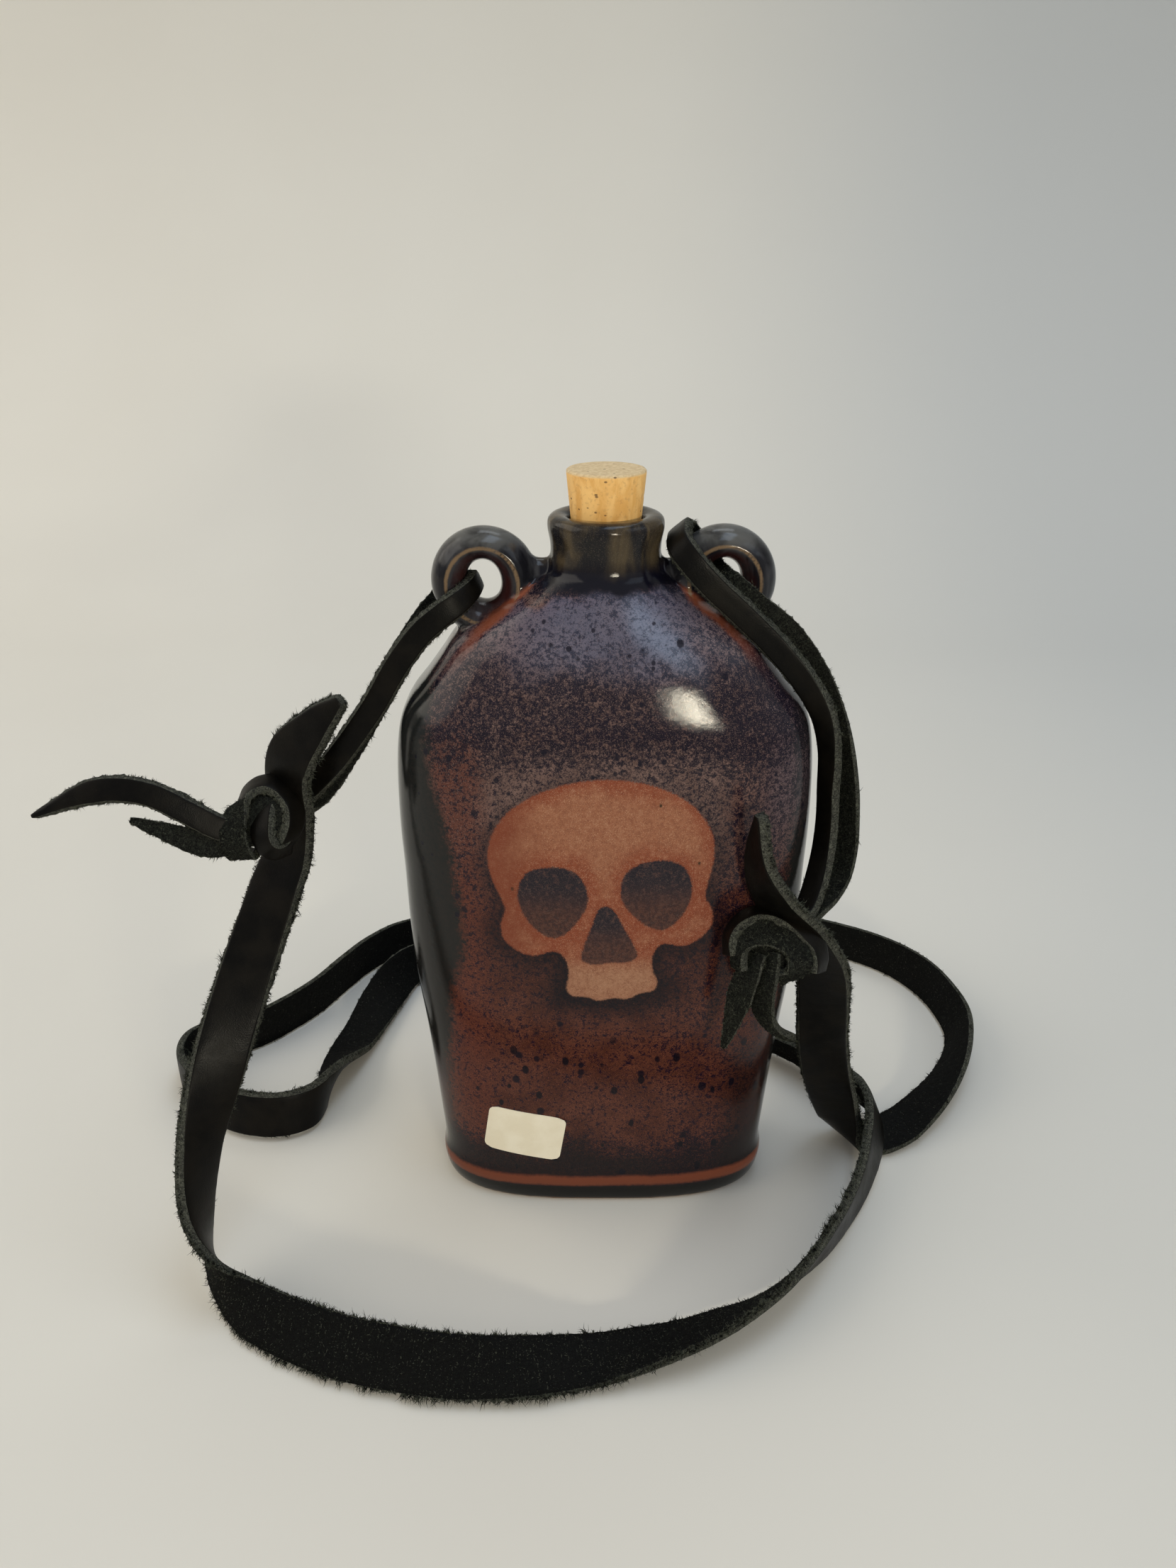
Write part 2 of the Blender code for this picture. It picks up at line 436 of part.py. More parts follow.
def ribbon(name, route, across, width, thick, steps, mat, shares=None):
    """Flat strip laid along a route, with softened corners and closed ends."""
    path, mark, run = smooth_route(route, steps)
    if len(np.shape(across)) == 1:
        across = [across] * len(route)
    lay = np.array(across, float)
    lay = np.stack([np.interp(mark, range(len(lay)), lay[:, k]) for k in range(3)], 1)
    ahead = np.gradient(path, axis=0)
    ahead /= np.linalg.norm(ahead, axis=1)[:, None]
    lay -= ahead * np.sum(lay * ahead, axis=1)[:, None]
    lay /= np.linalg.norm(lay, axis=1)[:, None]
    out = np.cross(ahead, lay)
    half_w, half_t = width / 2.0, thick / 2.0
    soft = half_t * EDGE_SOFT_SHARE
    rings = []
    for i in range(len(path)):
        share = 1.0 if shares is None else shares(run[i], run[-1], mark[i])
        w = half_w * share
        trim = min(soft, w * EDGE_TRIM_SHARE)
        outline = ((-w, -half_t + soft), (-w + trim, -half_t), (w - trim, -half_t),
                   (w, -half_t + soft), (w, half_t - soft), (w - trim, half_t),
                   (-w + trim, half_t), (-w, half_t - soft))
        rings.append([path[i] + lay[i] * u + out[i] * v for u, v in outline])
    verts, faces = ring_chain(rings)
    return add_solid(name, verts, faces, mat)


def point_both_ends(run, length, mark):
    """Strap cut to a blunt point at both ends."""
    near = min(run, length - run) / STRAP_POINT_LENGTH
    return 1.0 if near >= 1.0 else STRAP_POINT_SHARE + (1.0 - STRAP_POINT_SHARE) * near ** 0.7


def point_far_end(run, length, mark):
    """Tail that runs out to a point."""
    near = (length - run) / TAIL_POINT_LENGTH
    return 1.0 if near >= 1.0 else STRAP_POINT_SHARE + (1.0 - STRAP_POINT_SHARE) * near ** 0.8


def pinch_for(lug_mark, last_mark):
    """Thong squeezed narrower in the lug hole and in the strap hole."""
    def share(run, length, mark):
        at_lug = math.exp(-((mark - lug_mark) / 1.6) ** 2)
        at_ends = math.exp(-(mark / 1.3) ** 2) + math.exp(-((last_mark - mark) / 1.3) ** 2)
        return 1.0 - (1.0 - PINCH_SHARE) * at_lug - (1.0 - HOLE_PINCH_SHARE) * min(1.0, at_ends)
    return share


# Flask body: outer wall up, inner wall down, one closed shell
glaze_red = material("iron_red_glaze", (0.17, 0.045, 0.030), 0.14, coat=0.6)
outer = [oval(hx, hy, sq, z, BODY_AROUND)
         for (z, hx, hy), sq in zip(BODY_LEVELS, BODY_SQUARE_SHARES)]
seat_z = BODY_LEVELS[-1][0]
inner = [oval(BORE_RADIUS, BORE_RADIUS, 2.0, seat_z, BODY_AROUND),
         oval(BORE_RADIUS, BORE_RADIUS, 2.0, seat_z - BORE_DEPTH, BODY_AROUND)]
for z, hx, hy in reversed(BODY_LEVELS[FIRST_INNER_LEVEL:LAST_INNER_LEVEL]):
    inner.append(oval(hx - BODY_WALL, hy - BODY_WALL, INNER_SQUARE,
                      z - BODY_WALL * WALL_DROP_SHARE, BODY_AROUND))
_, heel_x, heel_y = BODY_LEVELS[FIRST_INNER_LEVEL - 1]
inner.append(oval(heel_x - BODY_WALL * HEEL_SHARE, heel_y - BODY_WALL * HEEL_SHARE,
                  INNER_SQUARE, BODY_FLOOR + BODY_WALL * HEEL_RISE_SHARE, BODY_AROUND))
inner.append(oval(heel_x - BODY_WALL * FLOOR_EDGE_SHARE, heel_y - BODY_WALL * FLOOR_EDGE_SHARE,
                  INNER_SQUARE, BODY_FLOOR, BODY_AROUND))
verts, faces = ring_chain(outer + inner)
flask_body = add_solid("flask_body", verts, faces, glaze_red)

# Neck collar, seated on the shoulder
glaze_dark = material("dark_neck_glaze", (0.055, 0.052, 0.055), 0.12, coat=0.6)
angles = [2.0 * math.pi * i / NECK_AROUND for i in range(NECK_AROUND)]
profile = list(NECK_PROFILE) + [(BORE_RADIUS, BORE_TOP_HEIGHT), (BORE_RADIUS, 0.0)]
verts = [(r * math.cos(a), r * math.sin(a), seat_z + GAP + up)
         for r, up in profile for a in angles]
faces = []
for level in range(len(profile)):
    nxt = (level + 1) % len(profile)
    for i in range(NECK_AROUND):
        j = (i + 1) % NECK_AROUND
        faces.append((level * NECK_AROUND + i, level * NECK_AROUND + j,
                      nxt * NECK_AROUND + j, nxt * NECK_AROUND + i))
neck_collar = add_solid("neck_collar", verts, faces, glaze_dark)


# Pulled lugs, trimmed to sit on the shoulder
def lug(name, out_x, mid_z):
    """Ring of leaf-shaped section, its foot trimmed to the shoulder with a clear gap."""
    around = []
    for i in range(LUG_AROUND):
        a = 2.0 * math.pi * i / LUG_AROUND
        loop = []
        for k in range(LUG_SECTION):
            b = 2.0 * math.pi * k / LUG_SECTION
            bulge = LUG_HALF_THICK * math.cos(b) * abs(math.cos(b)) ** (1.0 - LUG_RIDGE_SHARE)
            loop.append((out_x + (LUG_RING_HALF_WIDTH + bulge) * math.cos(a),
                         LUG_HALF_DEPTH * math.sin(b),
                         mid_z + (LUG_RING_HALF_HEIGHT + bulge * LUG_FLATTEN_SHARE) * math.sin(a)))
        around.append(loop)
    pts = [p for loop in around for p in loop]
    quads = []
    for i in range(LUG_AROUND):
        n = (i + 1) % LUG_AROUND
        for k in range(LUG_SECTION):
            m = (k + 1) % LUG_SECTION
            quads.append((i * LUG_SECTION + k, i * LUG_SECTION + m,
                          n * LUG_SECTION + m, n * LUG_SECTION + k))
    made = add_solid(name, pts, quads, glaze_lug)
    shell = [oval(hx + GAP, hy + GAP, sq, z + SEAT_LIFT, BODY_AROUND)
             for (z, hx, hy), sq in zip(BODY_LEVELS[LUG_SEAT_FIRST_LEVEL:],
                                        BODY_SQUARE_SHARES[LUG_SEAT_FIRST_LEVEL:])]
    low_verts, low_faces = ring_chain(shell)
    boolean(made, add_solid("seat", low_verts, low_faces, None), 'DIFFERENCE')
    return made


glaze_lug = material("blue_grey_lug_glaze", (0.060, 0.062, 0.075), 0.15, coat=0.6)
left_lug = lug("left_lug", -LEFT_LUG_OUT, seat_z - LEFT_LUG_BELOW_SEAT)
right_lug = lug("right_lug", RIGHT_LUG_OUT, seat_z - RIGHT_LUG_BELOW_SEAT)

# Cork, its taper stopped by the bore, its origin on the neck axis at its lower face
cork_tan = material("pressed_cork", (0.62, 0.41, 0.22), 0.75)
cork_top_radius = BORE_RADIUS + CORK_TOP_OVER_BORE
cork_end_radius = BORE_RADIUS - CORK_END_UNDER_BORE
cork_slope = (cork_top_radius - cork_end_radius) / CORK_LENGTH
cork_low = (seat_z + GAP + BORE_TOP_HEIGHT
            - (BORE_RADIUS - CORK_FIT - cork_end_radius) / cork_slope)
cork_top = cork_low + CORK_LENGTH
rings = []
for r, z in ((cork_end_radius - CORK_EDGE, cork_low), (cork_end_radius, cork_low + CORK_EDGE),
             (cork_top_radius, cork_top - CORK_EDGE), (cork_top_radius - CORK_EDGE, cork_top)):
    rings.append([(r * math.cos(2.0 * math.pi * i / CORK_AROUND),
                   r * math.sin(2.0 * math.pi * i / CORK_AROUND), z) for i in range(CORK_AROUND)])
verts, faces = ring_chain(rings)
cork_stopper = add_solid("cork_stopper", verts, faces, cork_tan, (0.0, 0.0, cork_low))


# Hole drill for the strap
def drill(at, way):
    """Long round tool through a point."""
    axis = Vector(way).normalized()
    side = axis.orthogonal().normalized()
    up = axis.cross(side)
    ends = []
    for s in (-0.5, 0.5):
        mid = Vector(at) + axis * HOLE_CUT_LENGTH * s
        ends.append([tuple(mid + (side * math.cos(a) + up * math.sin(a)) * STRAP_HOLE_RADIUS)
                     for a in [2.0 * math.pi * i / 24 for i in range(24)]])
    pts, quads = ring_chain(ends)
    return add_solid("drill", pts, quads, None)


# Wide strap with a hole near each end
leather = material("black_strap_leather", (0.030, 0.028, 0.026), 0.55)
shoulder_strap = ribbon("shoulder_strap", STRAP_ROUTE, STRAP_ACROSS_SHARES, STRAP_WIDTH,
                        STRAP_THICK, STRAP_STEPS, leather, point_both_ends)
boolean(shoulder_strap, drill(LEFT_HOLE_AT, LEFT_HOLE_OUT_SHARES), 'DIFFERENCE')
boolean(shoulder_strap, drill(RIGHT_HOLE_AT, RIGHT_HOLE_OUT_SHARES), 'DIFFERENCE')

# Thongs through the lugs
thong_leather = material("black_thong_leather", (0.034, 0.033, 0.030), 0.60)
left_thong = ribbon("left_thong", LEFT_THONG_ROUTE, LEFT_THONG_ACROSS_SHARES, THONG_WIDTH,
                    THONG_THICK, THONG_STEPS, thong_leather, pinch_for(12, 24))
right_thong = ribbon("right_thong", RIGHT_THONG_ROUTE, RIGHT_THONG_ACROSS_SHARES, THONG_WIDTH,
                     THONG_THICK, THONG_STEPS, thong_leather, pinch_for(20, 35))


# Knots: lace wraps over a packed middle, with their two tails, one closed body each
KNOT_FRAME = [Vector(way).normalized()
              for way in (KNOT_RIGHT_SHARES, KNOT_UP_SHARES, KNOT_NEAR_SHARES)]


def in_knot(at, points):
    """Points of the knot's own plane, as places."""
    return [tuple(Vector(at) + KNOT_FRAME[0] * a + KNOT_FRAME[1] * b + KNOT_FRAME[2] * c)
            for a, b, c in points]


def in_knot_ways(ways):
    """Directions of the knot's own plane."""
    return in_knot((0.0, 0.0, 0.0), ways)


def room(route, ways, width, thick, steps, shares):
    """Strip with the gap added all round, to trim a knot that lies against it."""
    return ribbon("room", route, ways, width + 2.0 * KNOT_GAP, thick + 2.0 * KNOT_GAP, steps,
                  None, shares)


def one_piece(obj):
    """Drop the scraps that the trim leaves behind the strap."""
    made = bmesh.new()
    made.from_mesh(obj.data)
    groups, seen = [], set()
    for vert in made.verts:
        if vert in seen:
            continue
        group, waiting = set(), [vert]
        while waiting:
            one = waiting.pop()
            if one not in group:
                group.add(one)
                waiting += [edge.other_vert(one) for edge in one.link_edges]
        seen |= group
        groups.append(group)
    groups.sort(key=len)
    for group in groups[:-1]:
        bmesh.ops.delete(made, geom=list(group), context='VERTS')
    made.to_mesh(obj.data)
    made.free()


def knot(name, at, core_at, wraps, tails, thong_room, mat):
    """Packed middle, wraps of lace and the tails, joined and trimmed clear of the strap."""
    mid = Vector(in_knot(at, [core_at])[0])
    right, up, near = KNOT_FRAME
    rows = []
    for i in range(1, 8):
        a = math.pi * i / 8 - math.pi / 2
        rows.append([tuple(mid + right * (KNOT_CORE[0] * math.cos(a) * math.cos(b))
                           + up * (KNOT_CORE[1] * math.cos(a) * math.sin(b))
                           + near * (KNOT_CORE[2] * math.sin(a)))
                     for b in [2.0 * math.pi * k / 16 for k in range(16)]])
    pts, quads = ring_chain(rows)
    made = add_solid(name, pts, quads, mat)
    for route, ways in wraps:
        boolean(made, ribbon("wrap", in_knot(at, route), in_knot_ways(ways), THONG_WIDTH,
                             THONG_THICK, WRAP_STEPS, None), 'UNION')
    for route, ways in tails:
        boolean(made, ribbon("tail", route, ways, TAIL_WIDTH, TAIL_THICK, TAIL_STEPS, None,
                             point_far_end), 'UNION')
    boolean(made, room(STRAP_ROUTE, STRAP_ACROSS_SHARES, STRAP_WIDTH, STRAP_THICK, STRAP_STEPS,
                       point_both_ends), 'DIFFERENCE')
    route, ways, shares = thong_room
    boolean(made, room(route, ways, THONG_WIDTH, THONG_THICK, THONG_STEPS, shares), 'DIFFERENCE')
    one_piece(made)
    return made


left_knot = knot("left_knot", LEFT_KNOT_AT, LEFT_CORE_AT,
                 ((LEFT_OUTER_WRAP, LEFT_OUTER_LAY_SHARES),
                  (LEFT_INNER_WRAP, LEFT_INNER_LAY_SHARES),
                  (LEFT_COLLAR_WRAP, LEFT_COLLAR_LAY_SHARES)),
                 ((LEFT_LONG_TAIL, LEFT_TAIL_ACROSS_SHARES),
                  (LEFT_SHORT_TAIL, LEFT_TAIL_ACROSS_SHARES)),
                 (LEFT_THONG_ROUTE, LEFT_THONG_ACROSS_SHARES, pinch_for(12, 24)), thong_leather)
right_knot = knot("right_knot", RIGHT_KNOT_AT, RIGHT_CORE_AT,
                  ((RIGHT_OUTER_WRAP, RIGHT_OUTER_LAY_SHARES),
                   (RIGHT_INNER_WRAP, RIGHT_INNER_LAY_SHARES)),
                  ((RIGHT_LONG_TAIL, RIGHT_LONG_LAY_SHARES),
                   (RIGHT_SHORT_TAIL, RIGHT_SHORT_LAY_SHARES)),
                  (RIGHT_THONG_ROUTE, RIGHT_THONG_ACROSS_SHARES, pinch_for(20, 35)),
                  thong_leather)


# Blank paper label, bent to the front face
def label():
    """Rounded rectangle that follows the glaze."""
    tilt = math.radians(LABEL_TILT_DEGREES)
    cols, rows = 12, 9
    near, far = [], []
    for j in range(rows + 1):
        v = (j / rows - 0.5) * LABEL_HEIGHT
        inset = max(0.0, abs(v) - (LABEL_HEIGHT / 2.0 - LABEL_CORNER))
        cut = LABEL_CORNER - math.sqrt(max(0.0, LABEL_CORNER ** 2 - inset ** 2))
        half = LABEL_WIDTH / 2.0 - cut
        for i in range(cols + 1):
            u = (2.0 * i / cols - 1.0) * half
            x = LABEL_X + u * math.cos(tilt) - v * math.sin(tilt)
            z = LABEL_Z + u * math.sin(tilt) + v * math.cos(tilt)
            y = front_y(x, z)
            near.append((x, y - LABEL_GAP - LABEL_THICK, z))
            far.append((x, y - LABEL_GAP, z))
    wide = cols + 1
    total = len(near)
    quads = []
    for j in range(rows):
        for i in range(cols):
            a = j * wide + i
            quads.append((a, a + 1, a + 1 + wide, a + wide))
            quads.append((total + a, total + a + wide, total + a + wide + 1, total + a + 1))
    edge = ([i for i in range(wide)] + [j * wide + cols for j in range(1, rows + 1)]
            + [rows * wide + i for i in range(cols - 1, -1, -1)]
            + [j * wide for j in range(rows - 1, 0, -1)])
    for a, b in zip(edge, edge[1:] + edge[:1]):
        quads.append((a, b, total + b, total + a))
    paper = material("label_paper", (0.86, 0.84, 0.76), 0.6)
    return add_solid("blank_label", near + far, quads, paper)


blank_label = label()

for obj in (cork_stopper, neck_collar, left_lug, right_lug, shoulder_strap, left_thong,
            right_thong, left_knot, right_knot, blank_label):
    obj.parent = flask_body
    obj.matrix_parent_inverse = flask_body.matrix_world.inverted()

for obj in (flask_body, neck_collar, left_lug, right_lug):
    for face in obj.data.polygons:
        face.use_smooth = True
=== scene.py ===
"""Dressed stoneware canteen: glazed flask, cork, black leather strap and knotted laces."""
import math

import bpy
import bmesh
import numpy as np
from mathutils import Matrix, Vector
from mathutils.bvhtree import BVHTree


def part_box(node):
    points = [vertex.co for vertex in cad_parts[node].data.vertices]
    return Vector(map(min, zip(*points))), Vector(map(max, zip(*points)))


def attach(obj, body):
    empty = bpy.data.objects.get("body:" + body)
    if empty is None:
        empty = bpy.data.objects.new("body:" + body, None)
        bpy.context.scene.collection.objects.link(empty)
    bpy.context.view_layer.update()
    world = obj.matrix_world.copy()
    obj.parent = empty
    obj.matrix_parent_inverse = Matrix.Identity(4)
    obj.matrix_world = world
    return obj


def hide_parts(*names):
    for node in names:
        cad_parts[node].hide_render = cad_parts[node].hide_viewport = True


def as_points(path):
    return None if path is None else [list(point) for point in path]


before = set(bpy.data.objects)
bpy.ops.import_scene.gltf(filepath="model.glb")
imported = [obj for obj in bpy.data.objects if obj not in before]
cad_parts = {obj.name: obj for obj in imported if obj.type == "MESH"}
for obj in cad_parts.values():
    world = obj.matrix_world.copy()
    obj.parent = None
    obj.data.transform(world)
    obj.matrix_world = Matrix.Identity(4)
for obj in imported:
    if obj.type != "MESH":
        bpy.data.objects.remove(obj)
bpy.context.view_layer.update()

MM = 0.001

# Camera where the photograph was taken from
CAMERA_AT = (-0.0050, -0.3271, 0.3008)
CAMERA_PITCH = math.radians(25.47)
CAMERA_LENS = 27.05


def new_object(name, data):
    """Object in the scene with the given data."""
    obj = bpy.data.objects.new(name, data)
    bpy.context.scene.collection.objects.link(obj)
    return obj


def make_camera():
    """Camera at the photograph's place and angle."""
    data = bpy.data.cameras.new("camera")
    data.lens = CAMERA_LENS
    data.sensor_width = 36.0
    data.clip_start = 0.01
    cam = new_object("camera", data)
    cam.location = CAMERA_AT
    cam.rotation_euler = (math.pi / 2.0 - CAMERA_PITCH, 0.0, 0.0)
    bpy.context.scene.camera = cam


make_camera()


# Small kit for shader nodes
class Graph:
    """Adds and links the nodes of one material."""

    def __init__(self, name):
        self.mat = bpy.data.materials.new(name)
        self.mat.use_nodes = True
        self.tree = self.mat.node_tree
        self.shader = self.tree.nodes["Principled BSDF"]
        self.place = self.add("ShaderNodeTexCoord").outputs["Object"]

    def put(self, socket, value):
        if isinstance(value, bpy.types.NodeSocket):
            self.tree.links.new(value, socket)
        elif socket.type == 'RGBA' and len(value) == 3:
            socket.default_value = (*value, 1.0)
        else:
            socket.default_value = value

    def add(self, kind, inputs=None, **settings):
        node = self.tree.nodes.new(kind)
        for key, value in settings.items():
            setattr(node, key, value)
        for key, value in (inputs or {}).items():
            self.put(node.inputs[key], value)
        return node

    def moved(self, scale):
        node = self.add("ShaderNodeMapping", {"Vector": self.place, "Scale": scale})
        return node.outputs["Vector"]

    def noise(self, scale, detail=2.0, rough=0.5, where=None, bend=0.0):
        node = self.add("ShaderNodeTexNoise", {"Vector": where or self.place, "Scale": scale,
                                               "Detail": detail, "Roughness": rough,
                                               "Distortion": bend})
        return node.outputs["Fac"]

    def cells(self, scale, where=None, out="Distance", feature='F1'):
        node = self.add("ShaderNodeTexVoronoi", {"Vector": where or self.place, "Scale": scale},
                        feature=feature)
        return node.outputs[out]

    def span(self, value, low, high, to_low=0.0, to_high=1.0):
        node = self.add("ShaderNodeMapRange", {"Value": value, "From Min": low, "From Max": high,
                                               "To Min": to_low, "To Max": to_high},
                        interpolation_type='SMOOTHSTEP')
        return node.outputs["Result"]

    def maths(self, kind, one, two=0.5):
        return self.add("ShaderNodeMath", {0: one, 1: two}, operation=kind).outputs[0]

    def plus(self, one, two):
        return self.maths('ADD', one, two)

    def minus(self, one, two):
        return self.maths('SUBTRACT', one, two)

    def size(self, value):
        return self.maths('ABSOLUTE', value)

    def times(self, *values):
        total = values[0]
        for value in values[1:]:
            total = self.maths('MULTIPLY', total, value)
        return total

    def lean(self, value, amount):
        """A noise centred on zero, times the amount."""
        return self.times(self.minus(value, 0.5), amount)

    def mix(self, share, one, two):
        node = self.add("ShaderNodeMix", {0: share, 6: one, 7: two}, data_type='RGBA')
        return node.outputs[2]

    def over(self, tone, colour, *shares):
        """A tone with a colour laid over it by the product of the shares."""
        return self.mix(self.times(*shares), tone, colour)

    def axis(self, name):
        return self.add("ShaderNodeSeparateXYZ", {0: self.place}).outputs[name]

    def attribute(self, name):
        return self.add("ShaderNodeAttribute", attribute_name=name).outputs["Fac"]

    def bump(self, height, strength, distance, after=None):
        inputs = {"Height": height, "Strength": strength, "Distance": distance}
        if after is not None:
            inputs["Normal"] = after
        return self.add("ShaderNodeBump", inputs).outputs["Normal"]

    def finish(self, **sockets):
        for key, value in sockets.items():
            self.put(self.shader.inputs[key.replace("_", " ")], value)
        return self.mat


# Leather surfaces
def grain_leather():
    """Smooth black side with fine pebbling and a warm sheen."""
    g = Graph("leather_grain")
    pebble = g.cells(2900.0, feature='SMOOTH_F1')
    fine = g.noise(2600.0, 3.0, 0.6)
    broad = g.noise(90.0, 3.0, 0.55)
    wrinkle = g.noise(420.0, 4.0, 0.6, g.moved((1.0, 1.0, 0.35)), 0.6)
    tone = g.mix(g.span(broad, 0.35, 0.7), (0.0020, 0.0018, 0.0015), (0.0056, 0.0046, 0.0032))
    tone = g.over(tone, (0.024, 0.020, 0.014), g.span(fine, 0.60, 0.74), 0.25)
    rough = g.span(g.plus(broad, g.times(fine, 0.4)), 0.4, 0.95, 0.30, 0.46)
    first = g.bump(g.plus(pebble, g.times(fine, 0.5)), 0.22, 0.00015)
    both = g.bump(wrinkle, 0.12, 0.0003, first)
    return g.finish(Base_Color=tone, Roughness=rough, Normal=both, IOR=1.45,
                    Specular_IOR_Level=0.11)


def pile(g, scale, low, high, low_tone, high_tone):
    """Matted fibres: black between the clumps and paler on top."""
    clump = g.noise(scale, 4.0, 0.72, None, 1.4)
    strand = g.noise(scale * 2.6, 3.0, 0.7, None, 2.2)
    height = g.plus(g.times(clump, 0.6), g.times(strand, 0.4))
    return height, g.mix(g.span(height, low, high), low_tone, high_tone)


def flesh_leather(name, high_tone):
    """Fibrous charcoal inner side."""
    g = Graph(name)
    height, tone = pile(g, 1500.0, 0.46, 0.58, (0.0012, 0.0013, 0.0010), high_tone)
    patch = g.noise(240.0, 3.0, 0.6)
    tone = g.over(tone, (0.0030, 0.0032, 0.0027), g.span(patch, 0.45, 0.70, 0.0, 0.50))
    return g.finish(Base_Color=tone, Roughness=0.95, Normal=g.bump(height, 1.0, 0.0030),
                    Sheen_Weight=0.02, Sheen_Roughness=0.5, Specular_IOR_Level=0.06)


def edge_leather():
    """Cut edge: matted fibres, a little paler and greener than the faces."""
    g = Graph("leather_edge")
    height, tone = pile(g, 1300.0, 0.43, 0.60, (0.0080, 0.0082, 0.0062), (0.210, 0.216, 0.158))
    patch = g.noise(260.0, 2.0, 0.6)
    tone = g.over(tone, (0.030, 0.0305, 0.0225), g.span(patch, 0.45, 0.75, 0.0, 0.50))
    return g.finish(Base_Color=tone, Roughness=0.92, Normal=g.bump(height, 1.0, 0.0030),
                    Sheen_Weight=0.05, Specular_IOR_Level=0.15)


def fibre_leather(name, high_tone):
    """Loose fibres at the cut edges and on the flesh side."""
    g = Graph(name)
    tone = g.mix(g.span(g.noise(1100.0, 2.0), 0.38, 0.62), (0.0040, 0.0042, 0.0034), high_tone)
    return g.finish(Base_Color=tone, Roughness=0.9, Specular_IOR_Level=0.12)


GRAIN, EDGE = grain_leather(), edge_leather()
FLESH = flesh_leather("leather_flesh", (0.046, 0.051, 0.037))
DARK_FLESH = flesh_leather("strap_flesh", (0.0085, 0.0094, 0.0070))
FIBRE = fibre_leather("leather_fibre", (0.100, 0.106, 0.078))
DARK_FIBRE = fibre_leather("strap_fibre", (0.078, 0.083, 0.062))


# Mesh helpers
def value_noise(x, y, seed):
    """Smooth random field on a unit grid, from -1 to 1."""
    rng = np.random.default_rng(seed)
    x, y = np.broadcast_arrays(np.asarray(x, float), np.asarray(y, float))
    x, y = x - x.min(), y - y.min()
    grid = rng.uniform(-1.0, 1.0, (int(x.max()) + 3, int(y.max()) + 3))
    i, j = x.astype(int), y.astype(int)
    u, v = x - i, y - j
    u, v = u * u * (3 - 2 * u), v * v * (3 - 2 * v)
    return ((grid[i, j] * (1 - u) + grid[i + 1, j] * u) * (1 - v)
            + (grid[i, j + 1] * (1 - u) + grid[i + 1, j + 1] * u) * v)


def mesh_object(name, verts, faces, mats, face_mats=None):
    """Smooth object from arrays, with its faces turned outward."""
    mesh = bpy.data.meshes.new(name)
    mesh.from_pydata([tuple(v) for v in verts], [], faces)
    for mat in mats:
        mesh.materials.append(mat)
    if face_mats is not None:
        mesh.polygons.foreach_set("material_index", np.array(face_mats, np.int32))
    made = bmesh.new()
    made.from_mesh(mesh)
    bmesh.ops.recalc_face_normals(made, faces=made.faces)
    made.to_mesh(mesh)
    made.free()
    mesh.polygons.foreach_set("use_smooth", np.full(len(mesh.polygons), True))
    return new_object(name, mesh)


def tube_faces(count, levels):
    """Quads between equal rings of points, with a cap at both ends."""
    faces = [tuple(range(count))]
    for low in range(0, (levels - 1) * count, count):
        for i in range(count):
            j = (i + 1) % count
            faces.append((low + i, low + j, low + count + j, low + count + i))
    last = (levels - 1) * count
    return faces + [tuple(range(last + count - 1, last - 1, -1))]


def through(a, b, c, d, u):
    """Point between b and c on the rounded curve through four points."""
    return 0.5 * ((2 * b) + (c - a) * u + (2 * a - 5 * b + 4 * c - d) * u * u
                  + (3 * b - a - 3 * c + d) * u ** 3)


def with_ends(pts):
    """Points with one more beyond each end, straight on."""
    return np.vstack([2 * pts[0] - pts[1], pts, 2 * pts[-1] - pts[-2]])


def smooth_route(pts, steps):
    """Even points along a rounded curve through the given points."""
    ext = with_ends(pts)
    fine, marks = [], []
    for i in range(len(pts) - 1):
        for u in np.arange(12) / 12.0:
            fine.append(through(*ext[i:i + 4], u))
            marks.append(i + u)
    fine = np.array(fine + [pts[-1]])
    marks.append(len(pts) - 1.0)
    run = np.concatenate(([0.0], np.cumsum(np.linalg.norm(np.diff(fine, axis=0), axis=1))))
    want = np.linspace(0.0, run[-1], steps + 1)
    mark = np.interp(want, run, marks)
    path = np.stack([np.interp(want, run, fine[:, k]) for k in range(3)], 1)
    return path, mark, want


def section(half_w, half_t, flesh_sign):
    """Outline of a leather strip: rounded grain corners, cut edges that lean out to the flesh."""
    r = min(half_t * 0.5, half_w * 0.3)
    lean = min(half_t * 0.45, half_w * 0.25)
    grain_w = half_w - lean
    pts, kinds = [], []
    for u in np.linspace(-1.0, 1.0, 9):
        pts.append((u * (grain_w - r), -flesh_sign * half_t * (1.0 - 0.08 * u ** 4)))
        kinds.append(0)
    edge = [(grain_w - r * 0.35, -0.86, 0), (grain_w, -0.55, 1), (grain_w + lean * 0.35, -0.15, 1),
            (grain_w + lean * 0.7, 0.25, 1), (half_w, 0.68, 1)]
    pts += [(u, flesh_sign * half_t * v) for u, v, _ in edge]
    kinds += [kind for _, _, kind in edge]
    for u in np.linspace(1.0, -1.0, 11):
        pts.append((u * (half_w - half_t * 0.12), flesh_sign * half_t))
        kinds.append(2)
    pts += [(-u, flesh_sign * half_t * v) for u, v, _ in edge[::-1]]
    kinds += [kind for _, _, kind in edge[::-1]]
    return np.array(pts), kinds


